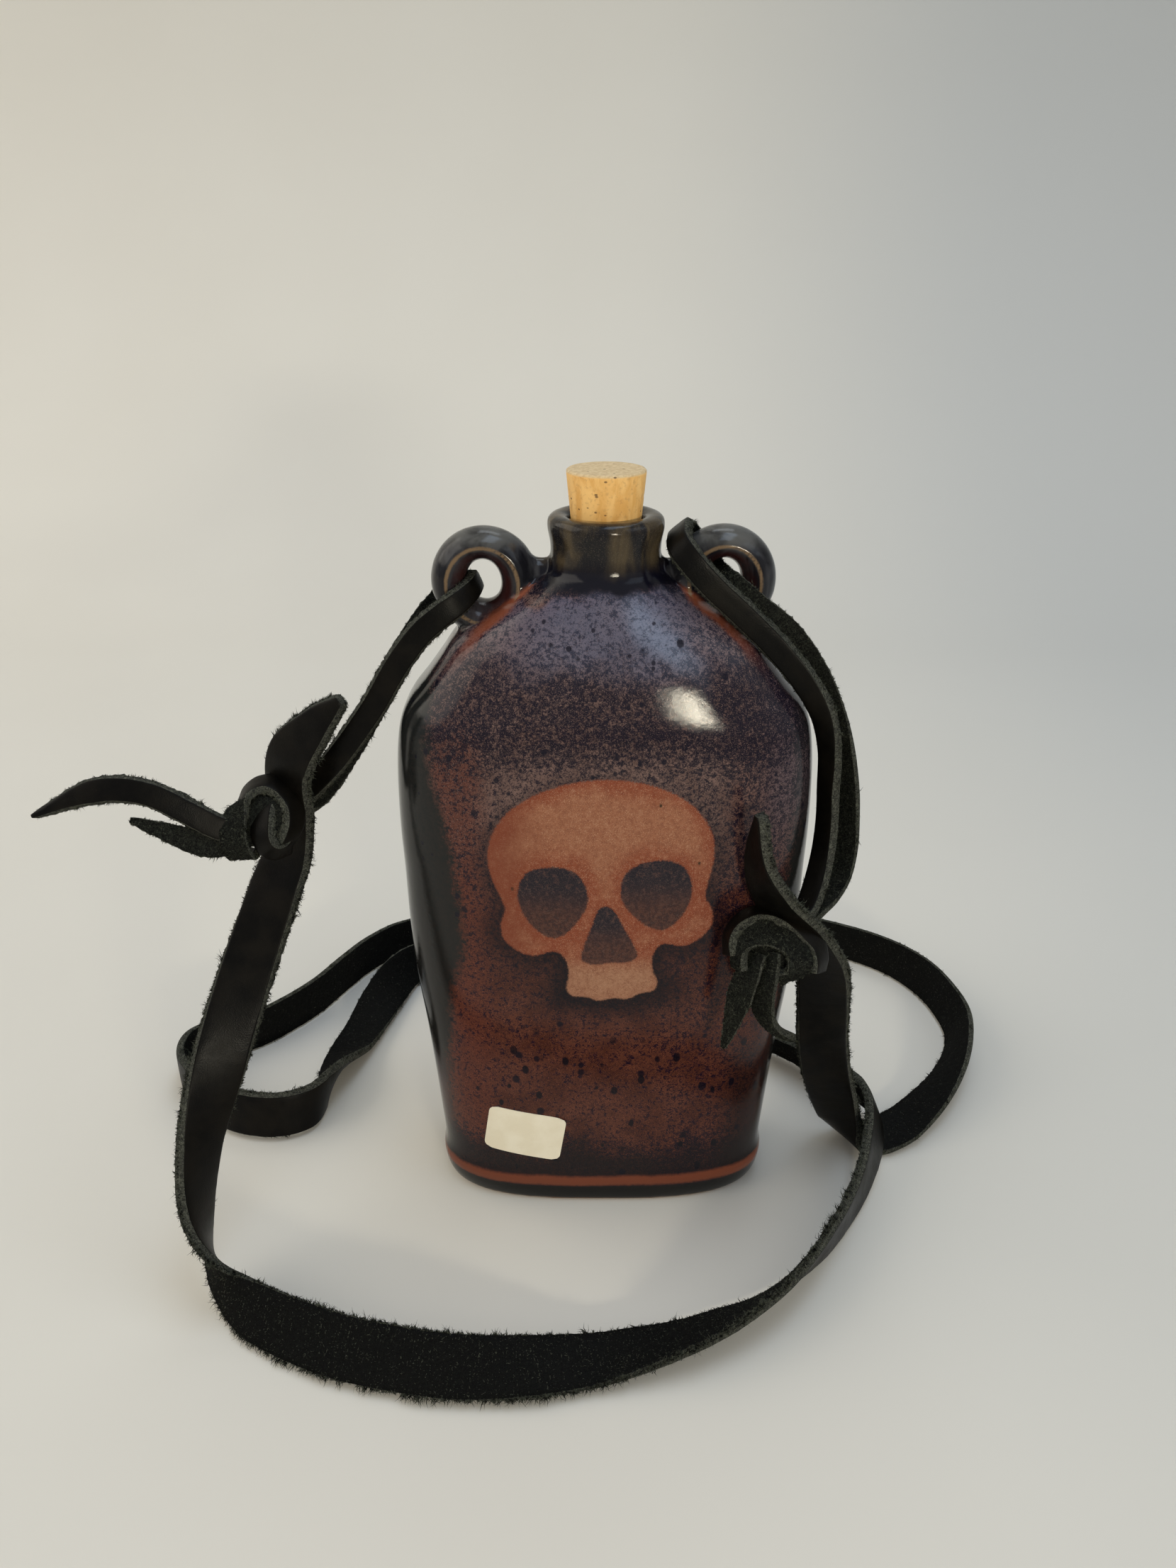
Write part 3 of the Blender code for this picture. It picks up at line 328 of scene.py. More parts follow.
def strip(rows, width, thick, step, flesh_sign, share=None, seed=1, rough=1.0):
    """Leather strip along rows of place and way: mesh arrays and what the fibres need."""
    route = rows[:, :3]
    length = np.linalg.norm(np.diff(smooth_route(route, 400)[0], axis=0), axis=1).sum()
    path, mark, run = smooth_route(route, max(8, int(length / step)))
    lay = np.stack([np.interp(mark, range(len(rows)), rows[:, k]) for k in (3, 4, 5)], 1)
    ahead = np.gradient(path, axis=0)
    ahead /= np.linalg.norm(ahead, axis=1)[:, None]
    lay -= ahead * np.sum(lay * ahead, axis=1)[:, None]
    lay /= np.linalg.norm(lay, axis=1)[:, None]
    out = np.cross(ahead, lay)
    half_w = np.full(len(path), width / 2.0)
    if share is not None:
        half_w *= np.array([share(r, run[-1], m) for r, m in zip(run, mark)])
    half_t = thick / 2.0
    rings = []
    for i in range(len(path)):
        pts, kinds = section(half_w[i], half_t, flesh_sign)
        rings.append(path[i] + lay[i] * pts[:, :1] + out[i] * pts[:, 1:])
    rings = np.array(rings)
    count = rings.shape[1]
    # Small dents along the whole strip, and a ragged edge and flesh side
    s = run[:, None] / MM
    k = np.arange(count)[None, :]
    kind = np.array(kinds)[None, :]
    dent = (value_noise(s * 0.9, k * 0.7, seed) * 0.10
            + value_noise(s * 0.25, k * 0.2, seed + 1) * 0.12)
    ragged = np.where(kind == 2, 0.20, np.where(kind == 1, 0.14, 0.02)) * rough
    corner = np.abs(pts[:, 1])[None, :] > half_t * 0.6
    ragged = np.where((kind == 1) & corner, 0.50 * rough, ragged)
    shift = (value_noise(s * 1.3, k * 1.9, seed + 2) * ragged + dent * 0.35 * rough) * MM
    side = np.sign(pts[:, 0])[None, :] * (kind == 1)
    face = np.where(kind == 2, flesh_sign, np.where(kind == 0, -flesh_sign, 0.0))
    shift[0], shift[-1] = 0.0, 0.0
    rings += lay[:, None, :] * (side * shift)[..., None]
    rings += out[:, None, :] * (face * shift)[..., None]
    between = [a if a == b else 1 for a, b in zip(kinds, kinds[1:] + kinds[:1])]
    return {"verts": rings.reshape(-1, 3), "faces": tube_faces(count, len(path)),
            "mats": [1] + between * (len(path) - 1) + [1], "path": path, "lay": lay,
            "out": out, "ahead": ahead, "half_w": half_w, "half_t": half_t,
            "flesh": flesh_sign, "run": run}


def leather_object(name, strips, flesh=FLESH):
    """One object from one or more strips."""
    verts, faces, mats = [], [], []
    for s in strips:
        base = len(verts)
        verts += list(s["verts"])
        faces += [tuple(base + i for i in f) for f in s["faces"]]
        mats += s["mats"]
    return mesh_object(name, verts, faces, [GRAIN, EDGE, flesh], mats)


def spikes(name, mat, roots, ways, curls, lengths, radii):
    """Closed tapered fibres, three-sided with one bend."""
    n = len(roots)
    ways = ways / np.linalg.norm(ways, axis=1)[:, None]
    some = np.where(np.abs(ways[:, 2:3]) < 0.8, [[0.0, 0.0, 1.0]], [[1.0, 0.0, 0.0]])
    one = np.cross(ways, some)
    one /= np.linalg.norm(one, axis=1)[:, None]
    two = np.cross(ways, one)
    mid = roots + ways * (lengths * 0.5)[:, None]
    late = ways + curls
    late /= np.linalg.norm(late, axis=1)[:, None]
    tip = mid + late * (lengths * 0.5)[:, None]
    mid[:, 2] = np.maximum(mid[:, 2], 0.0003)
    tip[:, 2] = np.maximum(tip[:, 2], 0.0001)
    verts = np.zeros((n, 7, 3))
    for k in range(3):
        a = 2.0 * math.pi * k / 3
        side = one * math.cos(a) + two * math.sin(a)
        verts[:, k] = roots + side * radii[:, None]
        verts[:, 3 + k] = mid + side * (radii * 0.7)[:, None]
    verts[:, 6] = tip
    shape = [(2, 1, 0)]
    for k in range(3):
        j = (k + 1) % 3
        shape += [(k, j, 3 + j), (k, 3 + j, 3 + k), (3 + k, 3 + j, 6)]
    tris = (np.array(shape)[None] + (np.arange(n) * 7)[:, None, None]).reshape(-1, 3)
    mesh = bpy.data.meshes.new(name)
    mesh.vertices.add(n * 7)
    mesh.vertices.foreach_set("co", verts.reshape(-1).astype(np.float32))
    mesh.loops.add(len(tris) * 3)
    mesh.loops.foreach_set("vertex_index", tris.reshape(-1).astype(np.int32))
    mesh.polygons.add(len(tris))
    mesh.polygons.foreach_set("loop_start", (np.arange(len(tris)) * 3).astype(np.int32))
    mesh.update(calc_edges=True)
    mesh.validate()
    mesh.materials.append(mat)
    return new_object(name, mesh)


# Fibres in a tuft, and the shortest and longest fibre in millimetres
TUFT_SIZES, TUFT_MEAN, FIBRE_LENGTHS = (3, 13), 8.0, (0.40, 3.6)


def fuzz(name, mat, strips, seed, edge_per_mm, nap_per_mm2, thick, longer=None):
    """Frayed tufts on the flesh corners and short nap on the flesh side, thickest in front."""
    rng = np.random.default_rng(seed)
    sets = []
    for s in strips:
        long_mm = s["run"][-1] / MM
        last = len(s["path"]) - 1
        front = np.interp(s["path"][:, 1], (-0.012, 0.012), (1.0, 0.30))
        for side in (-1.0, 1.0):
            tufts = int(long_mm * edge_per_mm / TUFT_MEAN)
            where = rng.uniform(0, 1, tufts)
            patch = 0.5 + 0.5 * value_noise(where * long_mm * 0.16, np.zeros(tufts),
                                            seed + int(side) + 5)
            keep = (0.35 + 0.8 * patch) * front[(where * last).astype(int)]
            where = where[rng.uniform(0, 1, tufts) < keep]
            size = rng.integers(*TUFT_SIZES, len(where))
            at = np.repeat(where, size) + rng.normal(0.0, 0.26 / long_mm, size.sum())
            lean = np.repeat(rng.normal(0.0, 0.8, len(where)), size)
            tall = np.repeat(rng.lognormal(-0.26, 0.48, len(where)), size)
            n = len(at)
            i = np.clip((at * last).astype(int), 0, last)
            v = s["flesh"] * s["half_t"] * rng.uniform(0.0, 1.0, n)
            root = (s["path"][i] + s["lay"][i] * (side * (s["half_w"][i] - 0.35 * MM))[:, None]
                    + s["out"][i] * v[:, None])
            way = (s["lay"][i] * (side * rng.uniform(0.4, 1.2, n))[:, None]
                   + s["out"][i] * (s["flesh"] * rng.uniform(-0.3, 1.0, n))[:, None]
                   + s["ahead"][i] * (lean + rng.normal(0.0, 0.35, n))[:, None])
            length = tall * rng.uniform(0.5, 1.1, n)
            if longer is not None:
                length *= longer(s, i, side)
            length = np.clip(length, *FIBRE_LENGTHS) * MM
            sets.append((root, way, rng.normal(0.0, 1.2, (n, 3)), length,
                         rng.uniform(0.5, 1.2, n) * thick * MM))
        n = int(long_mm * 2 * s["half_w"].mean() / MM * nap_per_mm2)
        i = rng.integers(0, last + 1, n)
        i = i[rng.uniform(0, 1, n) < front[i]]
        n = len(i)
        u = rng.uniform(-0.97, 0.97, n) * s["half_w"][i]
        root = (s["path"][i] + s["lay"][i] * u[:, None]
                + s["out"][i] * (s["flesh"] * (s["half_t"] - 0.1 * MM)))
        way = (s["lay"][i] * rng.normal(0, 1.0, n)[:, None]
               + s["ahead"][i] * rng.normal(0, 1.0, n)[:, None]
               + s["out"][i] * (s["flesh"] * rng.uniform(0.25, 1.0, n))[:, None])
        sets.append((root, way, rng.normal(0.0, 0.5, (n, 3)) - s["out"][i] * s["flesh"] * 0.8,
                     rng.uniform(0.4, 1.1, n) * MM, rng.uniform(0.5, 0.9, n) * thick * MM))
    return spikes(name, mat, *(np.concatenate(part) for part in zip(*sets)))


# Wide strap and laces: each row is the middle's place in millimetres, then the way the width lies
STRAP_WIDTH = 0.0170
STRAP_THICK = 0.0031
THONG_WIDTH = 0.0080
THONG_THICK = 0.0026
STRAP_POINT_LENGTH = 0.0260
TAIL_POINT_LENGTH = 0.0200
POINT_SHARE = 0.20
STRAP = (
    (-74.2, -19.0, 180.2, 0.78, -0.35, -0.52), (-82.6, -17.2, 171.8, 0.76, -0.46, -0.46),
    (-92.6, -14.0, 158.2, 0.80, -0.53, -0.28), (-94.8, -10.5, 141.0, 0.87, -0.49, -0.03),
    (-96.8, -11.5, 127.5, 0.88, -0.46, -0.08), (-101.0, -16.5, 116.5, 0.95, -0.28, -0.12),
    (-110.5, -28.0, 91.0, 0.99, 0.02, -0.14), (-117.0, -39.5, 70.5, 0.93, 0.30, -0.22),
    (-122.5, -51.0, 48.0, 0.52, 0.75, -0.42), (-123.0, -60.5, 27.5, 0.16, 0.72, -0.68),
    (-116.0, -69.5, 12.5, -0.36, 0.28, -0.89), (-103.0, -78.5, 8.8, -0.42, -0.38, -0.82),
    (-80.0, -88.2, 7.4, -0.27, -0.72, -0.64), (-62.7, -92.7, 7.2, -0.13, -0.77, -0.62),
    (-43.0, -95.6, 6.8, -0.04, -0.82, -0.57), (-23.5, -94.4, 5.0, 0.05, -0.94, -0.33),
    (-2.3, -90.6, 3.0, 0.12, -0.99, -0.03), (19.4, -86.5, 5.6, 0.26, -0.89, 0.37),
    (35.5, -80.8, 7.4, 0.34, -0.74, 0.58), (52.5, -71.0, 8.8, 0.34, -0.44, 0.83),
    (71.0, -52.0, 9.2, 0.13, -0.12, 0.98), (84.6, -31.8, 9.8, -0.04, 0.00, 1.00),
    (91.8, -17.5, 12.6, -0.22, 0.05, 0.97), (95.6, -6.0, 15.2, -0.33, 0.03, 0.94),
    (96.6, 6.0, 15.4, -0.38, -0.03, 0.92), (93.2, 19.0, 12.8, -0.38, -0.10, 0.92),
    (81.5, 36.0, 9.4, -0.38, -0.25, 0.89), (68.0, 48.5, 9.2, -0.25, -0.45, 0.86),
    (45.0, 62.0, 9.2, -0.05, -0.10, 1.00), (15.0, 78.0, 9.2, 0.02, 0.08, 1.00),
    (-15.0, 92.0, 9.2, 0.02, 0.10, 1.00), (-42.0, 104.0, 9.2, 0.00, 0.10, 1.00),
    (-62.0, 110.0, 9.2, 0.00, 0.10, 1.00), (-77.0, 107.0, 9.2, -0.10, 0.10, 0.98),
    (-86.0, 96.5, 8.4, -0.60, 0.10, 0.78), (-92.0, 82.0, 4.8, -0.93, 0.20, 0.30),
    (-95.5, 68.0, 2.8, -0.97, 0.22, -0.04), (-98.8, 53.0, 3.6, -0.94, 0.27, -0.17),
    (-101.5, 36.0, 7.2, -0.72, 0.33, -0.60), (-102.5, 20.0, 9.2, -0.20, -0.10, -0.97),
    (-107.5, 10.0, 9.2, 0.00, -0.20, -0.98), (-119.0, 6.0, 9.2, 0.02, -0.25, -0.97),
    (-134.0, 9.0, 9.2, 0.10, -0.30, -0.95), (-149.0, 19.0, 9.2, 0.10, -0.10, -0.99),
    (-159.5, 32.0, 9.2, 0.00, 0.00, -1.00), (-160.0, 45.0, 9.2, 0.00, 0.00, -1.00),
    (-150.5, 53.0, 9.2, 0.00, 0.00, -1.00), (-138.5, 57.0, 9.2, 0.00, 0.00, -1.00),
    (-127.0, 68.5, 9.2, 0.00, 0.00, -1.00), (-118.0, 81.0, 9.2, 0.00, 0.00, -1.00),
    (-110.0, 97.0, 9.2, 0.00, 0.00, -1.00), (-101.0, 112.5, 9.2, 0.00, 0.00, -1.00),
    (-87.0, 125.5, 9.2, 0.00, 0.00, -1.00), (-60.0, 133.0, 9.2, 0.00, 0.00, -1.00),
    (-20.0, 136.0, 9.2, 0.00, 0.00, -1.00), (20.0, 136.0, 9.2, 0.00, 0.00, -1.00),
    (60.0, 134.0, 9.2, 0.00, 0.00, -1.00), (90.0, 129.5, 9.2, 0.00, 0.00, -1.00),
    (110.0, 121.5, 9.2, 0.00, 0.00, -1.00), (127.5, 109.0, 9.2, -0.05, -0.05, -0.99),
    (139.0, 93.0, 9.0, -0.20, -0.10, -0.97), (144.0, 75.0, 8.9, -0.30, 0.05, -0.95),
    (144.5, 60.0, 8.7, -0.35, 0.25, -0.90), (139.5, 44.5, 7.9, -0.30, 0.60, -0.74),
    (131.0, 30.0, 6.5, -0.30, 0.80, -0.52), (120.5, 17.5, 4.8, -0.30, 0.92, -0.27),
    (109.5, 8.0, 2.8, -0.20, 0.98, -0.03), (100.0, 3.0, 2.1, -0.05, 1.00, 0.00),
    (93.0, 1.5, 2.6, 0.00, 1.00, -0.06), (87.2, 0.5, 6.4, -0.20, 0.88, -0.40),
    (83.8, -1.0, 14.0, -0.60, 0.62, -0.50), (80.0, -3.2, 26.0, -0.86, 0.35, -0.28),
    (76.0, -6.5, 40.0, -0.97, 0.15, -0.12), (72.8, -10.5, 56.0, -1.00, 0.05, -0.05),
    (70.6, -15.0, 75.0, -0.97, 0.22, 0.00), (68.0, -20.5, 91.0, -0.88, 0.46, -0.05),
    (63.5, -26.5, 102.0, -0.82, 0.52, -0.15), (56.8, -32.2, 113.5, -0.76, 0.58, -0.25),
    (48.0, -36.8, 126.2, -0.55, 0.76, -0.34), (43.0, -38.4, 139.2, -0.38, 0.84, -0.39),
    (42.4, -39.0, 154.0, -0.30, 0.86, -0.41),
)
LEFT_THONG = (
    (-95.2, -11.1, 142.4, 0.87, -0.49, 0.00), (-93.4, -8.0, 142.4, 0.87, -0.49, 0.00),
    (-91.2, -4.6, 144.0, 0.87, -0.44, -0.20), (-86.8, -4.8, 148.6, 0.80, -0.30, -0.50),
    (-80.2, -7.0, 156.4, 0.76, -0.15, -0.62), (-73.0, -8.2, 166.0, 0.74, -0.05, -0.67),
    (-66.4, -9.2, 175.6, 0.74, 0.00, -0.67), (-59.3, -10.4, 187.4, 0.74, 0.00, -0.67),
    (-52.0, -11.2, 197.0, 0.70, 0.00, -0.71), (-46.0, -11.2, 202.2, 0.58, 0.00, -0.81),
    (-41.2, -9.8, 205.4, 0.48, 0.00, -0.88), (-37.7, -5.2, 207.8, 0.40, 0.00, -0.92),
    (-36.6, 0.0, 209.0, 0.38, 0.00, -0.92), (-37.7, 5.2, 207.8, 0.40, 0.00, -0.92),
    (-41.4, 9.8, 205.0, 0.48, 0.00, -0.88), (-47.0, 10.4, 201.5, 0.58, 0.00, -0.81),
    (-53.5, 9.0, 194.5, 0.70, 0.05, -0.71), (-60.5, 6.2, 184.5, 0.74, 0.10, -0.67),
    (-67.5, 2.8, 173.0, 0.74, 0.10, -0.67), (-74.5, 0.0, 161.5, 0.78, 0.00, -0.62),
    (-81.2, -1.6, 151.0, 0.82, -0.20, -0.54), (-86.8, -1.6, 143.2, 0.86, -0.35, -0.36),
    (-90.5, -3.4, 139.8, 0.87, -0.46, -0.15), (-93.4, -8.0, 139.3, 0.87, -0.49, 0.00),
    (-95.2, -11.1, 139.3, 0.87, -0.49, 0.00),
)
RIGHT_THONG = (
    (56.3, -32.4, 114.8, 0.76, -0.58, 0.25), (57.9, -30.2, 116.0, 0.76, -0.58, 0.25),
    (60.2, -26.8, 118.6, 0.74, -0.60, 0.20), (63.0, -21.8, 124.0, 0.68, -0.70, 0.10),
    (65.0, -17.6, 131.0, 0.58, -0.81, 0.00), (65.9, -14.8, 140.0, 0.55, -0.83, 0.00),
    (65.6, -13.6, 150.0, 0.55, -0.83, 0.05), (64.8, -14.6, 162.0, 0.60, -0.76, 0.20),
    (61.8, -15.6, 174.0, 0.70, -0.52, 0.45), (55.2, -15.2, 185.0, 0.75, -0.22, 0.62),
    (46.8, -14.4, 194.6, 0.73, -0.05, 0.68), (37.5, -14.4, 203.6, 0.70, 0.00, 0.71),
    (29.0, -14.4, 211.5, 0.72, 0.00, 0.69), (22.6, -13.6, 218.4, 0.75, 0.00, 0.66),
    (19.7, -10.4, 222.2, 0.75, 0.00, 0.66), (20.0, -3.8, 223.8, 0.75, 0.00, 0.66),
    (21.2, 3.4, 223.4, 0.78, 0.00, 0.62), (23.2, 9.2, 220.6, 0.80, 0.00, 0.60),
    (26.8, 11.2, 216.8, 0.80, 0.00, 0.60), (30.0, 7.8, 213.4, 0.78, 0.00, 0.62),
    (31.5, 1.0, 211.8, 0.72, 0.00, 0.70), (32.6, -6.2, 211.6, 0.68, 0.00, 0.73),
    (35.8, -10.4, 209.6, 0.66, 0.00, 0.75), (42.0, -11.4, 204.4, 0.66, 0.00, 0.75),
    (51.2, -10.4, 196.8, 0.70, -0.05, 0.71), (60.0, -8.5, 185.0, 0.74, -0.25, 0.62),
    (66.5, -7.4, 172.6, 0.72, -0.52, 0.45), (71.0, -6.8, 160.0, 0.60, -0.76, 0.20),
    (73.8, -6.6, 147.0, 0.55, -0.83, 0.05), (74.6, -7.4, 138.0, 0.55, -0.83, 0.00),
    (74.5, -9.5, 129.0, 0.58, -0.80, 0.00), (72.4, -13.6, 121.0, 0.64, -0.74, 0.10),
    (68.2, -18.8, 116.5, 0.70, -0.68, 0.15), (63.2, -24.5, 114.8, 0.74, -0.62, 0.20),
    (59.2, -29.3, 113.4, 0.76, -0.58, 0.25), (57.5, -31.7, 112.3, 0.76, -0.58, 0.25),
)


def placed(rows):
    """Rows of place in millimetres and way, with the places turned to metres."""
    return np.array(rows) * ((MM,) * 3 + (1.0,) * 3)


def laid(route, way):
    """Rows from places in millimetres that share one way."""
    return placed([(*at, *way) for at in route])


def both_points(run, length, mark):
    """Strap cut to a blunt point at both ends."""
    near = min(run, length - run) / STRAP_POINT_LENGTH
    return 1.0 if near >= 1.0 else POINT_SHARE + (1.0 - POINT_SHARE) * near ** 0.7


def far_point(run, length, mark):
    """Tail that runs out to a point."""
    near = (length - run) / TAIL_POINT_LENGTH
    return 1.0 if near >= 1.0 else POINT_SHARE + (1.0 - POINT_SHARE) * near ** 0.8


def pinch_for(lug_mark, last_mark):
    """Thong squeezed narrower in the lug hole and in the strap hole."""
    def share(run, length, mark):
        at_lug = math.exp(-((mark - lug_mark) / 1.6) ** 2)
        at_ends = math.exp(-(mark / 1.3) ** 2) + math.exp(-((last_mark - mark) / 1.3) ** 2)
        return 1.0 - 0.20 * at_lug - 0.30 * min(1.0, at_ends)
    return share


strap_strip = strip(placed(STRAP), STRAP_WIDTH, STRAP_THICK, 1.0 * MM, -1.0, both_points, 11)
left_strip = strip(placed(LEFT_THONG), THONG_WIDTH, THONG_THICK, 0.9 * MM, 1.0,
                   pinch_for(12, 24), 21, 0.8)
right_strip = strip(placed(RIGHT_THONG), THONG_WIDTH, THONG_THICK, 0.9 * MM, 1.0,
                    pinch_for(20, 35), 31, 0.8)

strap = leather_object("strap_leather", [strap_strip], DARK_FLESH)
left_lace = leather_object("left_lace", [left_strip])
right_lace = leather_object("right_lace", [right_strip])

# Knots, drawn in the camera's plane: millimetres right, up and toward the camera
PLANE = np.array([(1.0, 0.0, 0.0),
                  (0.0, math.sin(CAMERA_PITCH), math.cos(CAMERA_PITCH)),
                  (0.0, -math.cos(CAMERA_PITCH), math.sin(CAMERA_PITCH))])
LEFT_KNOT_AT = (-0.0998, -0.0198, 0.1418)
RIGHT_KNOT_AT = (0.0512, -0.0398, 0.1100)
# Each wrap: middle of the lace, and the way its width lies
LEFT_OUTER_WRAP = (
    (5.0, -6.5, -1.5, -0.30, 0.10, 0.92), (6.9, -4.0, -0.6, -0.40, -0.02, 0.92),
    (8.6, 0.2, -0.3, -0.52, 0.00, 0.85), (8.2, 4.8, -0.3, -0.52, -0.13, 0.85),
    (5.8, 8.9, -0.3, -0.60, -0.22, 0.78), (2.0, 11.5, -0.2, -0.42, -0.48, 0.77),
    (-2.0, 11.2, 0.0, -0.15, -0.60, 0.79), (-5.0, 8.8, 0.4, 0.10, -0.60, 0.79),
    (-6.4, 5.2, 0.6, 0.40, -0.30, 0.86), (-6.8, 1.8, 0.2, 0.50, -0.05, 0.86),
)
LEFT_INNER_WRAP = (
    (0.6, 7.0, -2.2, 0.86, 0.05, 0.48), (0.2, 4.2, 1.4, 0.90, 0.05, 0.42),
    (0.0, 0.2, 3.2, 0.92, 0.05, 0.38), (0.3, -4.2, 3.6, 0.90, 0.08, 0.42),
    (1.5, -7.3, 2.2, 0.80, 0.35, 0.48), (3.8, -8.3, -0.6, 0.58, 0.62, 0.52),
    (6.4, -6.6, -3.6, 0.40, 0.80, 0.35),
)
LEFT_COLLAR_WRAP = (
    (-4.4, 6.8, -2.6, 0.45, 0.40, 0.80), (-5.9, 6.4, 0.8, 0.60, 0.40, 0.70),
    (-7.2, 2.6, 3.2, 0.90, 0.20, 0.35), (-8.0, -2.0, 3.9, 0.98, 0.10, 0.15),
    (-7.8, -6.4, 2.9, 0.98, 0.06, 0.10), (-6.8, -9.6, -0.2, 1.00, 0.05, 0.10),
    (-5.9, -8.4, -3.4, 1.00, 0.00, 0.10),
)
RIGHT_OUTER_WRAP = (
    (10.9, -6.0, -2.2, -0.60, -0.20, 0.77), (11.3, -2.3, -1.8, -0.65, -0.16, 0.74),
    (10.3, 1.9, -1.5, -0.71, -0.16, 0.68), (7.5, 5.4, -0.9, -0.82, -0.20, 0.53),
    (3.2, 8.8, -1.2, -0.79, -0.20, 0.59), (-2.0, 10.8, -2.0, -0.52, -0.29, 0.80),
    (-7.3, 10.9, -2.4, -0.26, -0.39, 0.88), (-12.1, 8.4, -2.4, -0.10, -0.42, 0.90),
    (-14.8, 4.1, -2.6, 0.15, -0.32, 0.93), (-14.8, -1.2, -2.4, 0.26, -0.34, 0.90),
)
RIGHT_INNER_WRAP = (
    (-1.5, -6.9, -1.2, -0.15, -0.45, -0.90), (0.4, -6.6, 0.3, 0.05, -0.40, -0.90),
    (2.9, -5.8, 1.0, 0.50, -0.40, -0.76), (4.5, -2.6, 2.8, 0.95, -0.05, -0.25),
    (3.6, 0.4, 2.2, 0.85, 0.26, -0.45), (1.0, 2.9, 1.7, 0.62, 0.52, -0.58),
    (-2.4, 4.9, 2.0, 0.36, 0.79, -0.50), (-6.4, 5.5, 2.0, 0.04, 0.87, -0.49),
    (-10.0, 4.3, 1.4, -0.22, 0.72, -0.65), (-12.0, 1.9, 0.7, -0.32, 0.46, -0.82),
    (-12.4, -1.4, 0.3, -0.30, 0.20, -0.92), (-12.2, -4.8, 0.1, -0.26, -0.06, -0.96),
)
# Loose ends: places in millimetres in the row frame
LEFT_LONG_TAIL = (
    (-105.0, -21.5, 140.0), (-112.0, -23.5, 142.0), (-120.5, -24.0, 147.5),
    (-130.0, -24.0, 153.0), (-140.0, -24.0, 154.8), (-150.0, -24.0, 153.0),
    (-165.0, -24.0, 146.2),
)
LEFT_SHORT_TAIL = (
    (-104.0, -21.5, 139.5), (-111.0, -23.5, 137.2), (-118.5, -25.2, 138.5),
    (-127.0, -26.2, 142.5), (-136.0, -26.8, 146.5),
)
RIGHT_LONG_TAIL = (
    (43.7, -40.5, 110.5), (42.0, -42.5, 105.5), (40.2, -42.2, 98.5),
    (38.8, -41.2, 90.0), (37.4, -40.5, 82.0), (36.2, -40.0, 76.5),
)
RIGHT_SHORT_TAIL = (
    (47.7, -41.0, 111.0, 0.65, -0.68, 0.33), (47.0, -43.5, 105.0, 0.65, -0.68, 0.33),
    (46.4, -43.0, 97.0, 0.62, -0.70, 0.30), (47.5, -41.0, 89.0, 0.55, -0.74, 0.35),
    (51.5, -38.5, 81.5, 0.45, -0.70, 0.55), (57.8, -36.2, 76.5, 0.35, -0.55, 0.75),
)
LEFT_TAIL_LAY = (0.05, 0.35, 0.94)
RIGHT_LONG_LAY = (0.72, -0.53, 0.42)


def wrap(at, rows, flesh, seed, rough=0.9):
    """One turn of lace in a knot."""
    rows = placed(rows)
    rows = np.hstack([at + rows[:, :3] @ PLANE, rows[:, 3:] @ PLANE])
    return strip(rows, THONG_WIDTH, THONG_THICK, 0.6 * MM, flesh, None, seed, rough)


def tail(rows, flesh, seed, rough):
    """Loose end of a lace."""
    return strip(rows, THONG_WIDTH, THONG_THICK, 0.8 * MM, flesh, far_point, seed, rough)


left_parts = [
    wrap(LEFT_KNOT_AT, LEFT_OUTER_WRAP, -1.0, 41),
    wrap(LEFT_KNOT_AT, LEFT_INNER_WRAP, -1.0, 42),
    wrap(LEFT_KNOT_AT, LEFT_COLLAR_WRAP, 1.0, 43, 1.2),
    tail(laid(LEFT_LONG_TAIL, LEFT_TAIL_LAY), 1.0, 44, 1.0),
    tail(laid(LEFT_SHORT_TAIL, LEFT_TAIL_LAY), -1.0, 45, 1.0),
]
right_parts = [
    wrap(RIGHT_KNOT_AT, RIGHT_OUTER_WRAP, -1.0, 51),
    wrap(RIGHT_KNOT_AT, RIGHT_INNER_WRAP, -1.0, 52, 1.2),
    tail(laid(RIGHT_LONG_TAIL, RIGHT_LONG_LAY), 1.0, 53, 1.2),
    tail(placed(RIGHT_SHORT_TAIL), 1.0, 54, 1.2),
]
left_knot = leather_object("left_lace_knot", left_parts)
right_knot = leather_object("right_lace_knot", right_parts)

PACKED_HALF_HIGH, PACKED_HALF_DEEP = 8.0, 4.0


def packed_middle(name, at, core_at, half_wide, seed):
    """Lace pressed together inside a knot, seen only through its gaps."""
    around, rows = 40, 20
    verts = []
    for b in math.pi * np.arange(1, rows) / rows:
        for a in 2.0 * math.pi * np.arange(around) / around:
            fold = 1.0 + 0.05 * math.sin(5 * b + 2 * a + seed)
            ball = (math.cos(a) * math.sin(b) * half_wide, math.cos(b) * PACKED_HALF_HIGH,
                    math.sin(a) * math.sin(b) * PACKED_HALF_DEEP)
            verts.append(at + (np.array(core_at) + np.array(ball) * fold) * MM @ PLANE)
    return mesh_object(name, verts, tube_faces(around, rows - 1), [FLESH])


left_middle = packed_middle("left_lace_middle", LEFT_KNOT_AT, (0.5, 1.0, -0.3), 8.0, 1)
right_middle = packed_middle("right_lace_middle", RIGHT_KNOT_AT, (-0.8, 1.0, -1.2), 9.2, 2)


def front_fray(s, i, side):
    """Fibres are longest along the outer edge of the front loop."""
    p = s["path"][i]
    here = (p[:, 1] < -0.040) & (p[:, 2] < 0.035)
    return np.where(here, 2.8 if side > 0 else 1.6, 1.25)


